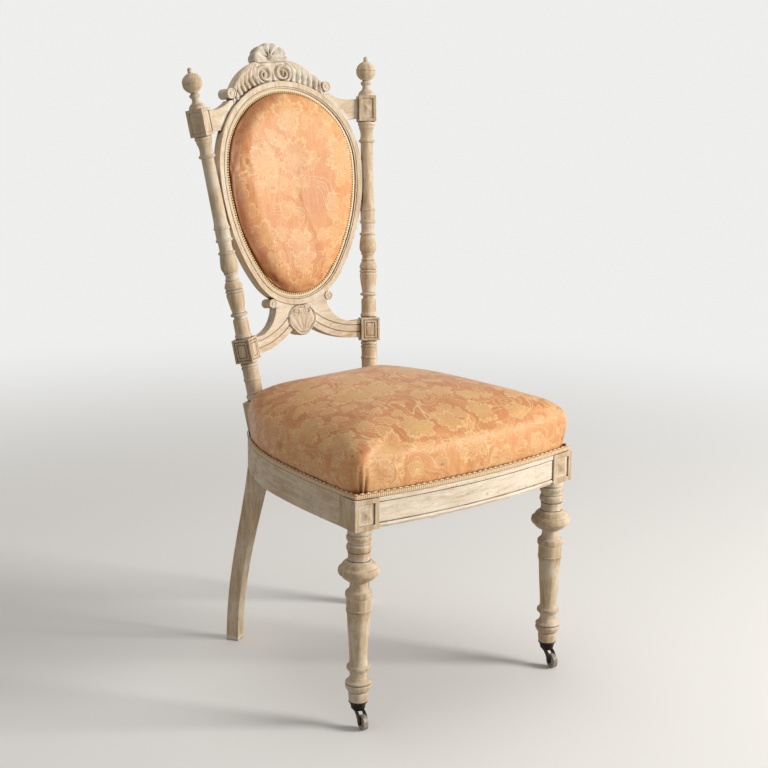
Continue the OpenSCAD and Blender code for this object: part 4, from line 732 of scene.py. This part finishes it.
def make_pad():
    """The stuffing in the oval, as even rings from its rim to its middle, front and back."""
    rings, steps = 44, 176
    place = np.linspace(0, len(PAD_SHARES) - 1, rings)
    shares = np.interp(place, range(len(PAD_SHARES)), PAD_SHARES)
    rises = np.interp(place, range(len(PAD_RISES)), PAD_RISES)
    for _ in range(3):
        shares[1:-1] = (shares[:-2] + 2 * shares[1:-1] + shares[2:]) / 4
        rises[1:-1] = (rises[:-2] + 2 * rises[1:-1] + rises[2:]) / 4
    rim = [oval_point(i / steps, PAD_INSET) for i in range(steps)]
    base = REBATE_D - HESSIAN_T - SOFT_GAP
    rows = [(share, base) for share in np.linspace(0.02, 0.985, PAD_BACK_ROWS)]
    rows += [(max(share, 0.02), base - 0.96 * PAD_H * rise) for share, rise in zip(shares, rises)]
    points, uvs = [], []
    for share, depth in rows:
        for u, v in rim:
            a, b = u * share, PAD_CENTRE_V + (v - PAD_CENTRE_V) * share
            points.append(on_hollow(a, b, depth))
            uvs.append((a + 1.05, b + 0.9))
    faces = grid_faces(len(rows), steps, closed=True) + end_faces(len(points), steps)
    piece = facing_out(new_piece("back_stuffing", points, faces, "damask"))
    fixed = {tuple(round(c, 6) for c in p) for p in points[: PAD_HELD_ROWS * steps]}
    inflate(piece, lambda p: 1.0 if tuple(round(c, 6) for c in p) in fixed else 0.0, PAD_PRESSURE, PAD_SWELL)
    smooth(piece, "settle", 3)
    apply_modifiers(piece)
    piece.data.shade_smooth()
    set_uvs(piece, uvs)
    # Painted shade for the pad's rim: each point's share of the way out to the rim, raised on the left side, away
    # from the key lamp.
    rim_shade = piece.data.attributes.new("rim_shade", "FLOAT", "POINT")
    for i, (share, _) in enumerate(rows):
        for j, (u, _) in enumerate(rim):
            left = eased(-u / OVAL_R, -0.55, 0.65)
            rim_shade.data[i * steps + j].value = float(share * (0.80 + 0.20 * left))
    return on_frame(piece, "damask", "back_pad")


# Gimp


GIMP_ROWS = 11
GIMP_STEP = 0.0009
GIMP_CROWN = 0.0012


def scalloped(t, s):
    """Height of the seat gimp at t from 0 to 1 across it and s along it, and how far that point shifts across:
    ribs on a low dome, with a scalloped upper edge."""
    phase = 2 * math.pi * s / GIMP_LOOP
    dome = math.sqrt(max(0.0, 1 - (2 * t - 1) ** 2))
    ribs = 0.5 + 0.5 * math.cos(3 * phase)
    lip = math.exp(-(((t - 0.86) / 0.10) ** 2))
    height = dome * (0.62 + 0.16 * ribs) + 0.22 * lip * abs(math.sin(phase / 2))
    shift = max(0.0, 2 * t - 1) ** 2 * 0.22 * (abs(math.sin(phase / 2)) - 0.7)
    return height, shift


def beaded(t, s):
    """Height and shift across of the back gimp: a low flat band with a row of small beads near the stuffing."""
    phase = 2 * math.pi * s / BEAD_PITCH
    band = 0.42 * min(1.0, 6 * t, 6 * (1 - t))
    bead = math.exp(-(((t - BEAD_LINE) / 0.17) ** 2)) * (0.5 + 0.5 * math.cos(phase)) ** 0.7
    return band + 0.58 * bead, 0.0


def gimp_strip(path, across_of, width, thickness, profile):
    """Points, uvs and row count of a gimp strip. path gives evenly spaced (point, out) pairs: out points away
    from the wood. across_of gives the direction across the strip at an index."""
    points, uvs = [], []
    s = 0.0
    for i, (p, out) in enumerate(path):
        if i:
            s += (p - path[i - 1][0]).length
        across = across_of(i)
        for k in range(GIMP_ROWS):
            t = k / (GIMP_ROWS - 1)
            height, shift = profile(t, s)
            points.append(p + across * ((t - 0.5 + shift) * width) + out * (height * thickness))
            uvs.append((s, t * width))
    return points, uvs


def resampled(points, step, closed=False):
    """Evenly spaced points along a line of points."""
    if closed:
        points = points + [points[0]]
    lengths = [0.0]
    for a, b in zip(points, points[1:]):
        lengths.append(lengths[-1] + (b - a).length)
    count = max(2, int(round(lengths[-1] / step)))
    result, k = [], 0
    for i in range(count + (0 if closed else 1)):
        at = lengths[-1] * i / count
        while k < len(lengths) - 2 and lengths[k + 1] < at:
            k += 1
        share = (at - lengths[k]) / max(1e-9, lengths[k + 1] - lengths[k])
        result.append(points[k].lerp(points[k + 1], share))
    return result


def around_seat(z, step_deg=0.25):
    """Runs of points on the outside of the seat gimp's solid at a height, going round it."""
    tree = BVHTree.FromObject(NODES["seat_gimp"], bpy.context.evaluated_depsgraph_get())
    runs, run = [], []
    steps = int(360 / step_deg)
    for i in range(steps + 1):
        a = math.radians(i * step_deg + 90)
        out = Vector((math.cos(a), math.sin(a), 0))
        start = Vector((SEAT_MIDDLE.x, SEAT_MIDDLE.y, z)) + out * 0.5
        hit, normal, _, distance = tree.ray_cast(start, -out)
        good = hit is not None and distance < 0.40 and normal.dot(out) > 0.2
        if good and (not run or (hit - run[-1]).length < 0.02):
            run.append(hit)
        else:
            if len(run) > 8:
                runs.append(run)
            run = [hit] if good else []
    if len(run) > 8:
        runs.append(run)
    if len(runs) > 1 and (runs[0][0] - runs[-1][-1]).length < 0.02:
        runs[0] = runs.pop() + runs[0]
    return runs


def make_seat_gimp():
    """The gimp along the rails, in runs between the leg blocks."""
    points, uvs, faces = [], [], []
    half = GIMP_T / 2
    for run in around_seat(RAIL_TOP + GIMP_H / 2):
        line = resampled(run, GIMP_STEP)
        path = []
        for i, p in enumerate(line):
            along = (line[min(i + 1, len(line) - 1)] - line[max(i - 1, 0)]).normalized()
            out = along.cross(Vector((0, 0, 1)))
            if out.dot(p - SEAT_MIDDLE) < 0:
                out = -out
            path.append((p - out * half, out))
        more, more_uvs = gimp_strip(path, lambda i: Vector((0, 0, 1)), GIMP_H, half + GIMP_CROWN, scalloped)
        faces += shifted(grid_faces(len(path), GIMP_ROWS), len(points))
        points += more
        uvs += more_uvs
    piece = facing_out(new_piece("seat_braid", points, faces, "braid", uvs=uvs))
    centre = SEAT_MIDDLE + Vector((0, 0, RAIL_TOP))
    if sum((f.center - centre).dot(f.normal) * f.area for f in piece.data.polygons) < 0:
        piece.data.flip_normals()
    return on_frame(piece, "gimp", "seat_gimp")


def make_oval_gimp(name, node, inset, depth, rise):
    """Gimp round the oval at an inset, its seat at a depth in the hollow and its top a rise from there."""
    coarse = [Vector((*oval_point(i / 720, inset), 0)) for i in range(720)]
    line = resampled(coarse, GIMP_STEP, closed=True)
    path, inward = [], []
    for i, p in enumerate(line):
        seat = on_hollow(p.x, p.y, depth)
        top = on_hollow(p.x, p.y, depth + rise)
        ahead, behind = line[(i + 1) % len(line)], line[i - 1]
        along = (on_hollow(ahead.x, ahead.y, depth) - on_hollow(behind.x, behind.y, depth)).normalized()
        out = (top - seat).normalized()
        path.append((seat, out))
        inward.append(along.cross(out).normalized())
    points, uvs = gimp_strip(path, lambda i: inward[i], BACK_GIMP_W, abs(rise), beaded)
    piece = new_piece(name, points, grid_faces(len(path), GIMP_ROWS), "oval_braid")
    last = (len(path) - 1) * GIMP_ROWS
    with editing(piece) as mesh:
        for k in range(GIMP_ROWS - 1):
            mesh.faces.new([mesh.verts[i] for i in (last + k, k, k + 1, last + k + 1)])
    set_uvs(piece, uvs)
    if sum(f.normal.dot(path[0][1]) for f in piece.data.polygons) < 0:
        piece.data.flip_normals()
    return on_frame(piece, "gimp", node)


# Plain cloth


def oval_cloth(name, node, look, slot, inset, depth, thickness):
    """A stretched oval of cloth that follows the hollow of the back."""
    rings, steps = 14, 96
    points, uvs = [], []
    for face in (0, 1):
        for r in range(rings, -1, -1):
            for i in range(steps):
                a, b = oval_point(i / steps, inset)
                share = r / rings
                u, v = a * share, OVAL_MID + (b - OVAL_MID) * share
                points.append(on_hollow(u, v, depth + face * thickness))
                uvs.append((u + 1, v + 1))
    count = (rings + 1) * steps
    faces = grid_faces(rings + 1, steps, closed=True)
    faces += shifted([f[::-1] for f in faces], count)
    faces += [(i, (i + 1) % steps, count + (i + 1) % steps, count + i) for i in range(steps)]
    piece = new_piece(name, points, faces, look, uvs=uvs)
    weld(piece)
    return on_frame(piece, slot, node)


def weld(piece, distance=1e-6):
    """Joins the points of a piece that lie in one place."""
    with editing(piece) as mesh:
        bmesh.ops.remove_doubles(mesh, verts=mesh.verts, dist=distance)


def make_hessian():
    """The hessian over the springs: the solid's own dome, smoothed."""
    piece = copied("seat_canvas", "seat_hessian", "hessian")
    weld(piece, 1e-5)
    set_uvs(piece, [(v.co.x, v.co.y) for v in piece.data.vertices])
    return on_frame(piece, "hessian", "seat_hessian")


STRAP_SECTION = ((-0.5, 0), (-0.49, 0.5), (-0.2, 0.5), (0.2, 0.5), (0.49, 0.5), (0.5, 0), (0.3, -0.5), (-0.3, -0.5))
CROSSING_HALF = 0.022


def strap(points, across, width, thickness):
    """Points and faces of a strap with rounded edges along a list of points."""
    out = []
    for i, p in enumerate(points):
        ahead = (points[min(i + 1, len(points) - 1)] - points[max(i - 1, 0)]).normalized()
        up = ahead.cross(across).normalized()
        out += [p + across * (x * width) + up * (y * thickness) for x, y in STRAP_SECTION]
    ring = len(STRAP_SECTION)
    return out, grid_faces(len(points), ring, closed=True) + end_faces(len(out), ring)


def make_webbing():
    """Three straps from front to back, woven through four across, tacked under the rails."""
    outline = BVHTree.FromObject(NODES["seat_webbing"], bpy.context.evaluated_depsgraph_get())
    mid_z = RAIL_TOP - RAIL_DEPTH - WEBBING_T
    swing = 0.45 * WEBBING_T
    first_y = 0.55 * LEG_BLOCK_W
    pitch_y = (REAR_Y - first_y - 2.5 * STRAP_W) / 3
    rows = [first_y + STRAP_W / 2 + i * pitch_y + SHIFT_Y for i in range(4)]
    columns = [k * 1.3 * STRAP_W for k in (-1, 0, 1)]
    points, uvs, faces = [], [], []
    total = 0.0
    steps = 60

    def weave(places, crossings, along, across, side):
        """Straps at some places, which pass over and under the others at their crossings."""
        nonlocal total
        way = Vector((0, 0, 0))
        way[along] = 1
        wide = Vector((0, 0, 0))
        wide[across] = 1
        for k, place in enumerate(places):
            start = wide * place + Vector((0, 0, mid_z + side * WEBBING_T / 2))
            far, near = (outline.ray_cast(start + way * sign * 0.6, -way * sign)[0] for sign in (1, -1))
            line = []
            for i in range(steps + 1):
                at = near[along] + (far[along] - near[along]) * i / steps
                lift = sum(side * (1 if (k + n) % 2 else -1) * math.exp(-(((at - c) / CROSSING_HALF) ** 4))
                           for n, c in enumerate(crossings))
                line.append(way * at + wide * place + Vector((0, 0, mid_z + lift * swing)))
            more, more_faces = strap(line, wide, STRAP_W, WEBBING_T * 0.85)
            faces.extend(shifted(more_faces, len(points)))
            points.extend(more)
            run = line[-1] - line[0]
            uvs.extend(((p - line[0]).dot(wide), (p - line[0]).dot(run.normalized())) for p in more)
            total += run.length

    weave(columns, rows, 1, 0, 1)
    weave(rows, columns, 0, 1, -1)
    piece = facing_out(new_piece("seat_straps", points, faces, "webbing", uvs=uvs))
    return on_frame(piece, "webbing", "seat_webbing")


SPRING_SPOTS = [(-0.26, 0.3, 0.6), (0.26, 0.3, 0.6), (0, 0.5, 0.93), (-0.2, 0.68, 0.6), (0.2, 0.68, 0.6)]
SPRING_R, WAIST_R, WIRE_R, TURNS, TURN_STEPS = 0.040, 0.027, 0.0018, 5, 24


def make_springs():
    """Five hourglass coil springs between the webbing and the hessian."""
    points, faces = [], []
    for sx, sy, rise in SPRING_SPOTS:
        centre = Vector((sx * LEG_SPACING, FRONT_MID_Y + sy * (REAR_Y - FRONT_MID_Y) + SHIFT_Y, 0))
        low = RAIL_TOP - RAIL_DEPTH + SOFT_GAP
        length = RAIL_DEPTH + rise * 0.9 * RAIL_DEPTH - SOFT_GAP
        line = []
        for i in range(TURNS * TURN_STEPS + 1):
            t = i / (TURNS * TURN_STEPS)
            r = WAIST_R + (SPRING_R - WAIST_R) * abs(2 * t - 1) ** 1.5
            a = 2 * math.pi * i / TURN_STEPS
            line.append(centre + Vector((r * math.cos(a), r * math.sin(a), low + WIRE_R + (length - 2 * WIRE_R) * t)))
        more, more_faces = tube(line, WIRE_R, 10)
        faces += shifted(more_faces, len(points))
        points += more
    piece = facing_out(new_piece("seat_spring_coils", points, faces, "wire"))
    return on_frame(piece, "spring_steel", "seat_springs")


# Carving


BURIED = -0.0009
CARVE_STEP = 0.0008
SKIRT = 0.0012


def eased(x, low, high):
    """0 below low, 1 above high, smooth between."""
    t = np.clip((x - low) / (high - low), 0, 1)
    return t * t * (3 - 2 * t)


def ridge(height, off, half):
    """Height of a round-topped ridge at a distance off its middle line."""
    return height * np.sqrt(np.clip(1 - (off / half) ** 2, 0, 1))


def strand(u, v, line, wide, high):
    """Heights of a rounded strand along a line of points. wide and high give its half width and its height at
    even places along it."""
    best = np.zeros(u.shape)
    last = len(line) - 1
    wide_at, high_at = np.linspace(0, 1, len(wide)), np.linspace(0, 1, len(high))
    for i in range(last):
        a, d = np.array(line[i]), np.array(line[i + 1]) - np.array(line[i])
        t = np.clip(((u - a[0]) * d[0] + (v - a[1]) * d[1]) / (d @ d), 0, 1)
        off = np.hypot(u - a[0] - t * d[0], v - a[1] - t * d[1])
        share = (i + t) / last
        best = np.maximum(best, ridge(np.interp(share, high_at, high), off, np.interp(share, wide_at, wide)))
    return best


def bowed(a, b, c, steps=14):
    """A curve from a to c, drawn towards b."""
    line = []
    for i in range(steps + 1):
        t = i / steps
        line.append(tuple((1 - t) ** 2 * p + 2 * t * (1 - t) * q + t * t * r for p, q, r in zip(a, b, c)))
    return line


def relief(name, node, place, low, high, rise):
    """A closed carved piece on a face. rise(u, v) gives its heights, and where it is under the face it ends."""
    us = np.arange(low[0], high[0] + CARVE_STEP / 2, CARVE_STEP)
    vs = np.arange(low[1], high[1] + CARVE_STEP / 2, CARVE_STEP)
    u, v = np.meshgrid(us, vs)
    h = np.maximum(rise(u, v), BURIED)
    faces = [f for f in grid_faces(len(vs), len(us)) if max(h.flat[k] for k in f) > BURIED + 1e-6]
    used = sorted({k for f in faces for k in f})
    number = {k: i for i, k in enumerate(used)}
    points = [place(u.flat[k], v.flat[k], -h.flat[k]) for k in used]
    piece = new_piece(name, points, [tuple(number[k] for k in f) for f in faces], "carved")
    middle = (low[1] + high[1]) / 2
    inward = (place(0, middle, 0.001) - place(0, middle, 0)).normalized()
    with editing(piece) as mesh:
        grown = bmesh.ops.extrude_edge_only(mesh, edges=[e for e in mesh.edges if e.is_boundary])["geom"]
        for vert in (g for g in grown if isinstance(g, bmesh.types.BMVert)):
            vert.co += inward * SKIRT
        bmesh.ops.holes_fill(mesh, edges=[e for e in mesh.edges if e.is_boundary], sides=0)
    return on_frame(piece, "carved_wood", node)


def on_crest_face(u, v, depth):
    """A point behind the crest's face, on the leaning dome above its foot and on the hollow back below."""
    return on_crest(u, v, depth) if v >= DOME_V else on_hollow(u, v, CREST_SET + depth)


def dome_top(x):
    """Height up the back of the dome's edge at x from its middle."""
    knee = DOME_W - DOME_END_R
    if x < (DOME_H + DOME_K) * math.cos(math.atan2(DOME_K, knee)):
        return DOME_V - DOME_K + math.sqrt((DOME_H + DOME_K) ** 2 - x * x)
    return DOME_V + math.sqrt(max(0.0, DOME_END_R**2 - (x - knee) ** 2))


VOLUTE_U = 1.26 * VOLUTE_R
VOLUTE_V = DOME_V + 0.58 * DOME_H
SHELL_V = DOME_V + DOME_H
COIL_STEPS = 60
COIL_WIDE, COIL_HIGH = (0.0024, 0.0034, 0.0032, 0.0026, 0.0018), (0.0034, 0.0052, 0.0052, 0.0050)
BOSS_R, BOSS_H = 0.0036, 0.0058
LEAVES, LEAF_START, LEAF_TURN, LEAF_PITCH, VEIN_DEPTH = 6, 15.4, 4.25, 0.0088, 0.0011
LEAF_WIDE, LEAF_HIGH = (0.0016, 0.0034, 0.0048, 0.0046, 0.0034), (0.0026, 0.0040, 0.0056, 0.0050)


def crest_rise(u, v):
    """Acanthus of the crest: two facing volutes, a bud between them and a fan of hooked leaf strands on each
    side, over a low ground with a raised edge."""
    x = np.abs(u)
    knee = DOME_W - DOME_END_R
    high = v - (DOME_V - DOME_K)
    over_knee = high * knee < x * DOME_K
    top = np.where(over_knee, DOME_END_R - np.hypot(x - knee, v - DOME_V), DOME_H + DOME_K - np.hypot(x, high))
    inside = np.minimum(top, np.hypot(x, v - OVAL_MID) - OVAL_R)
    roll = np.hypot(x - DOME_W - 0.3 * CREST_ROLL_R, v - DOME_V - 1.3 * CREST_ROLL_R)
    inside = np.minimum(inside, roll - 1.12 * CREST_ROLL_R)
    h = 0.0007 * eased(inside, 0.0015, 0.003)
    h = np.maximum(h, ridge(0.0019, top - 0.0026, 0.0019))
    coil = []
    for i in range(COIL_STEPS):
        t = i / (COIL_STEPS - 1)
        r, a = (VOLUTE_R + 0.0010) * (1 - 0.74 * t**1.35), math.radians(-75 + 360 * 1.5 * t)
        coil.append((VOLUTE_U + r * math.cos(a), VOLUTE_V + 0.94 * r * math.sin(a)))
    h = np.maximum(h, strand(x, v, coil, COIL_WIDE, COIL_HIGH))
    h = np.maximum(h, ridge(BOSS_H, np.hypot(x - VOLUTE_U, v - VOLUTE_V), BOSS_R))
    bud = [(0.0, OVAL_MID + OVAL_R + 0.003), (0.0, OVAL_MID + OVAL_R + 0.018)]
    h = np.maximum(h, strand(x, v, bud, (0.0032, 0.0024, 0.0010), (0.0040, 0.0034, 0.0016)))
    for i in range(LEAVES):
        a = math.radians(LEAF_START + LEAF_TURN * i)
        foot_u, foot_v = (OVAL_R + 0.0040) * math.sin(a), OVAL_MID + (OVAL_R + 0.0040) * math.cos(a)
        head_u = 0.030 + LEAF_PITCH * i
        head_v = dome_top(head_u) - 0.0050
        bulge = (foot_u + 0.0080, 0.40 * foot_v + 0.60 * head_v)
        line = bowed((head_u, head_v), bulge, (foot_u - 0.0048, foot_v + 0.0010))
        h = np.maximum(h, strand(x, v, line, LEAF_WIDE, LEAF_HIGH))
        between = [(p - 0.0046, q - 0.0010) for p, q in line[2:10]]
        h = np.maximum(h, strand(x, v, between, (0.0008, 0.0022, 0.0012), (0.0018, 0.0034, 0.0020)))
        h = h - VEIN_DEPTH * strand(x, v, line[4:-2], (0.0005, 0.0009, 0.0006), (1.0, 1.0, 1.0))
    h = h * eased(inside, 0.0, 0.0014)
    return np.where(inside < 0, BURIED, np.where(inside < 0.0003, np.minimum(h, BURIED * 0.5), h))


def make_shell():
    """The shell on the crest: ribs that fan out from a bud at its foot to a scalloped edge that curls forward."""
    rays, rings, wall, back, lobes = 216, 26, 6, 8, 9
    deep = 0.9 * SHELL_T
    points = []

    def reach(a):
        s, c = math.sin(a), math.cos(a)
        if s >= 0:
            across = abs(math.sin(lobes * a / 2))
            return (1 - 0.075 * (1 - across) ** 1.2) / math.hypot(c / SHELL_W, s / SHELL_H)
        corner = SHELL_W - SHELL_LOBE
        flat = SHELL_LOBE / max(1e-9, -s)
        inner = SHELL_LOBE**2 - (corner * s) ** 2
        return min(flat, corner * abs(c) + math.sqrt(inner)) if inner > 0 else flat

    def front(share, a):
        up = max(0.0, math.sin(a)) ** 0.3
        across = abs(math.sin(lobes * a / 2))
        dish = 0.0014 + 0.0046 * share**1.4 - 0.0050 * max(0.0, (share - 0.84) / 0.16) ** 2
        groove = 0.0046 * (1 - across) ** 0.9 * min(1.0, share / 0.35) * (1 - 0.4 * max(0.0, share - 0.8) / 0.2)
        return dish - groove * up

    for r in range(rings + wall + back):
        for k in range(rays):
            a = 2 * math.pi * (k + 0.5) / rays
            edge = reach(a)
            if r <= rings:
                share = max(0.015, r / rings)
                inset, h = edge * share, front(share, a)
            elif r <= rings + wall:
                t = (r - rings) / wall
                inset, h = edge * (1 - 0.03 * t * t), front(1, a) * (1 - t) - (deep - 0.001) * t
            else:
                t = (r - rings - wall) / back
                inset, h = edge * 0.97 * (1 - 0.985 * t), -deep
            points.append(on_crest(inset * math.cos(a), SHELL_V + inset * math.sin(a), -h))
    faces = grid_faces(rings + wall + back, rays, closed=True) + end_faces(len(points), rays)
    bud, turns, rows = len(points), 24, 9
    for r in range(rows):
        for k in range(turns):
            a, t = 2 * math.pi * k / turns, math.pi / 2 * r / (rows - 1)
            out = 0.0072 * math.sin(t) * (1 + 0.12 * math.cos(3 * a + math.pi / 2))
            up = SHELL_V - 0.0012 + 1.1 * out * math.sin(a)
            points.append(on_crest(out * math.cos(a), up, -0.0092 * math.cos(t)))
    faces += shifted(grid_faces(rows, turns, closed=True), bud)
    faces.append(tuple(range(len(points) - turns, len(points))))
    piece = new_piece("crest_shell_carving", points, faces, "shell")
    weld(piece)
    return on_frame(piece, "carved_wood", "crest_shell")


CARTOUCHE_V = OVAL_MID - OVAL_DROP - 0.52 * CARTOUCHE_H


def cartouche_rise(u, v):
    """A heart-shaped cartouche: a raised rim, a fan of flutes and two scrolled scallops at its top."""
    w, half = CARTOUCHE_W / 2, CARTOUCHE_H / 2
    r = 0.87 * half
    x = np.abs(u)
    inside = np.maximum(r - np.hypot(x - (w - r), v - CARTOUCHE_V - half + r),
                        0.9 * half - np.hypot(x, v - CARTOUCHE_V + 0.1 * half))
    inside = np.minimum(inside, np.hypot(x, v - TOE_V) - TOE_R)
    rim = ridge(0.0036, inside - 0.0022, 0.0022)
    spread = np.arctan2(x, v - CARTOUCHE_V + 0.95 * half)
    flutes = np.abs(np.cos(8.5 * spread)) ** 0.6
    dish = 0.0008 + 0.0016 * flutes + 0.0012 * eased(inside, 0.004, 0.016)
    h = np.maximum(rim, dish * eased(inside, 0.0040, 0.0056))
    away = np.hypot(x - 0.17 * CARTOUCHE_W, v - CARTOUCHE_V - 0.56 * half)
    h = np.where(away < 0.0080, 0.0016, h)
    h = np.maximum(h, ridge(0.0040, away - 0.0060, 0.0022))
    h = np.maximum(h, ridge(0.0034, away, 0.0034))
    h = h * eased(inside, 0.0, 0.0010)
    return np.where(inside < 0, BURIED, h)


# Camera, lights and floor


CAMERA_AT = (-2.07765, -2.31499 + SHIFT_Y, 1.32633)
CAMERA_YAW, CAMERA_PITCH, CAMERA_ROLL = 0.691058, 0.249481, 0.010099
CAMERA_F = 1988.72
PHOTO_W = 768
FLOOR_COLOUR = (0.86, 0.85, 0.83)
BOUNCE_COLOUR = (0.46, 0.44, 0.41)
BACKDROP_COLOUR = (0.86, 0.86, 0.85)
FLOOR_HALF = 60.0
FADE_OUT = (0.9, 2.6)
WARM_WHITE = (1.0, 0.98, 0.95)
WORLD_COLOUR, WORLD_STRENGTH = (1.0, 0.97, 0.93), 0.32
# Name, place, target, size, power and colour
LAMPS = [
    ("key", (2.4, -2.9, 1.75), (0, 0, 0.5), 1.4, 157, WARM_WHITE),
    ("fill", (-3.0, -0.6, 1.8), (0, 0, 0.5), 2.2, 3, WARM_WHITE),
    ("top", (0.2, 0.4, 3.2), (0, 0, 0.4), 2.0, 18, (1, 1, 1)),
]


def make_camera():
    """The camera of the photograph, fitted to mirror-image pairs of points on the chair."""
    sy, cy = math.sin(CAMERA_YAW), math.cos(CAMERA_YAW)
    sp, cp = math.sin(CAMERA_PITCH), math.cos(CAMERA_PITCH)
    ahead = Vector((sy * cp, cy * cp, -sp))
    right = Vector((cy, -sy, 0))
    up = right.cross(ahead)
    cr, sr = math.cos(CAMERA_ROLL), math.sin(CAMERA_ROLL)
    across, above = right * cr + up * sr, up * cr - right * sr
    data = bpy.data.cameras.new("photo_camera")
    data.sensor_width = 36
    data.lens = CAMERA_F * data.sensor_width / PHOTO_W
    camera = linked("photo_camera", data)
    camera.matrix_world = Matrix.Translation(CAMERA_AT) @ Matrix((across, above, -ahead)).transposed().to_4x4()
    bpy.context.scene.camera = camera


def make_light(name, at, target, size, power, colour):
    """A square lamp turned to a target."""
    data = bpy.data.lights.new(name, "AREA")
    data.size = size
    data.energy = power
    data.color = colour
    lamp = linked(name, data)
    lamp.location = at
    lamp.rotation_euler = (Vector(target) - Vector(at)).to_track_quat("-Z", "Y").to_euler()


def seen_directly(g):
    """1 for what the camera sees directly, by reflection or through glass, and 0 for light that bounces."""
    path = g.add("LightPath").outputs
    return g.highest(path["Is Camera Ray"], path["Is Glossy Ray"], path["Is Transmission Ray"])


def make_floor():
    """A pale floor that fades into the bright backdrop for the camera."""
    mesh = bpy.data.meshes.new("floor")
    corners = [(x * FLOOR_HALF, y * FLOOR_HALF, 0) for x, y in ((-1, -1), (1, -1), (1, 1), (-1, 1))]
    mesh.from_pydata(corners, [], [(0, 1, 2, 3)])
    floor = linked("floor", mesh)
    floor.location.z = -0.0002
    g = Graph("pale_floor")
    colour = g.mix(seen_directly(g), BOUNCE_COLOUR, FLOOR_COLOUR)
    g.finish(Base_Color=colour, Roughness=0.85, Specular_IOR_Level=0.1)
    glow = g.add("Emission", {"Color": BACKDROP_COLOUR, "Strength": 1.0})
    away = g.vector("LENGTH", g.add("TexCoord").outputs["Object"])["Value"]
    blend = g.add("MixShader", {0: g.times(g.span(away, *FADE_OUT), seen_directly(g))})
    out = next(n for n in g.tree.nodes if n.type == "OUTPUT_MATERIAL")
    g.tree.links.new(g.shader.outputs[0], blend.inputs[1])
    g.tree.links.new(glow.outputs[0], blend.inputs[2])
    g.tree.links.new(blend.outputs[0], out.inputs[0])
    mesh.materials.append(g.material)


def make_world():
    """Soft light from all round, and a bright backdrop for the camera."""
    world = bpy.data.worlds.new("studio")
    bpy.context.scene.world = world
    world.use_nodes = True
    tree = world.node_tree
    tree.nodes.clear()
    kinds = ("OutputWorld", "MixShader", "LightPath", "Background", "Background")
    out, mixer, path, lit, seen = (tree.nodes.new("ShaderNode" + kind) for kind in kinds)
    for light, colour, strength in ((lit, WORLD_COLOUR, WORLD_STRENGTH), (seen, BACKDROP_COLOUR, 1.0)):
        light.inputs[0].default_value = (*colour, 1)
        light.inputs[1].default_value = strength
    sources = (path.outputs["Is Camera Ray"], lit.outputs[0], seen.outputs[0])
    for source, socket in zip(sources, mixer.inputs):
        tree.links.new(source, socket)
    tree.links.new(mixer.outputs[0], out.inputs[0])


make_camera()
make_floor()
make_world()
for lamp in LAMPS:
    make_light(*lamp)
bpy.context.scene.view_settings.view_transform = "Standard"
make_seat()
make_pad()
make_seat_gimp()
make_oval_gimp("back_braid", "back_gimp", BAND_W + SOFT_GAP + BACK_GIMP_W / 2, REBATE_D - HESSIAN_T, -GIMP_T)
make_oval_gimp("rear_braid", "back_rear_gimp", BAND_W + BACK_GIMP_W / 2, HOOP_T + COVER_T, GIMP_T)
oval_cloth("outside_cover", "back_outside_cover", "satin", "outside_cloth", BAND_W, HOOP_T, COVER_T)
oval_cloth("back_hessian", "back_webbing", "hessian", "hessian", BAND_W + SOFT_GAP, REBATE_D - HESSIAN_T, HESSIAN_T)
make_hessian()
make_webbing()
make_springs()
relief("crest_acanthus", "crest_carving", on_crest_face, (-DOME_W, OVAL_MID + 0.11), (DOME_W, SHELL_V + 0.001),
       crest_rise)
relief("cartouche_relief", "lower_cartouche", on_lower, (-CARTOUCHE_W / 2, CARTOUCHE_V - CARTOUCHE_H / 2),
       (CARTOUCHE_W / 2, CARTOUCHE_V + CARTOUCHE_H / 2), cartouche_rise)
make_shell()
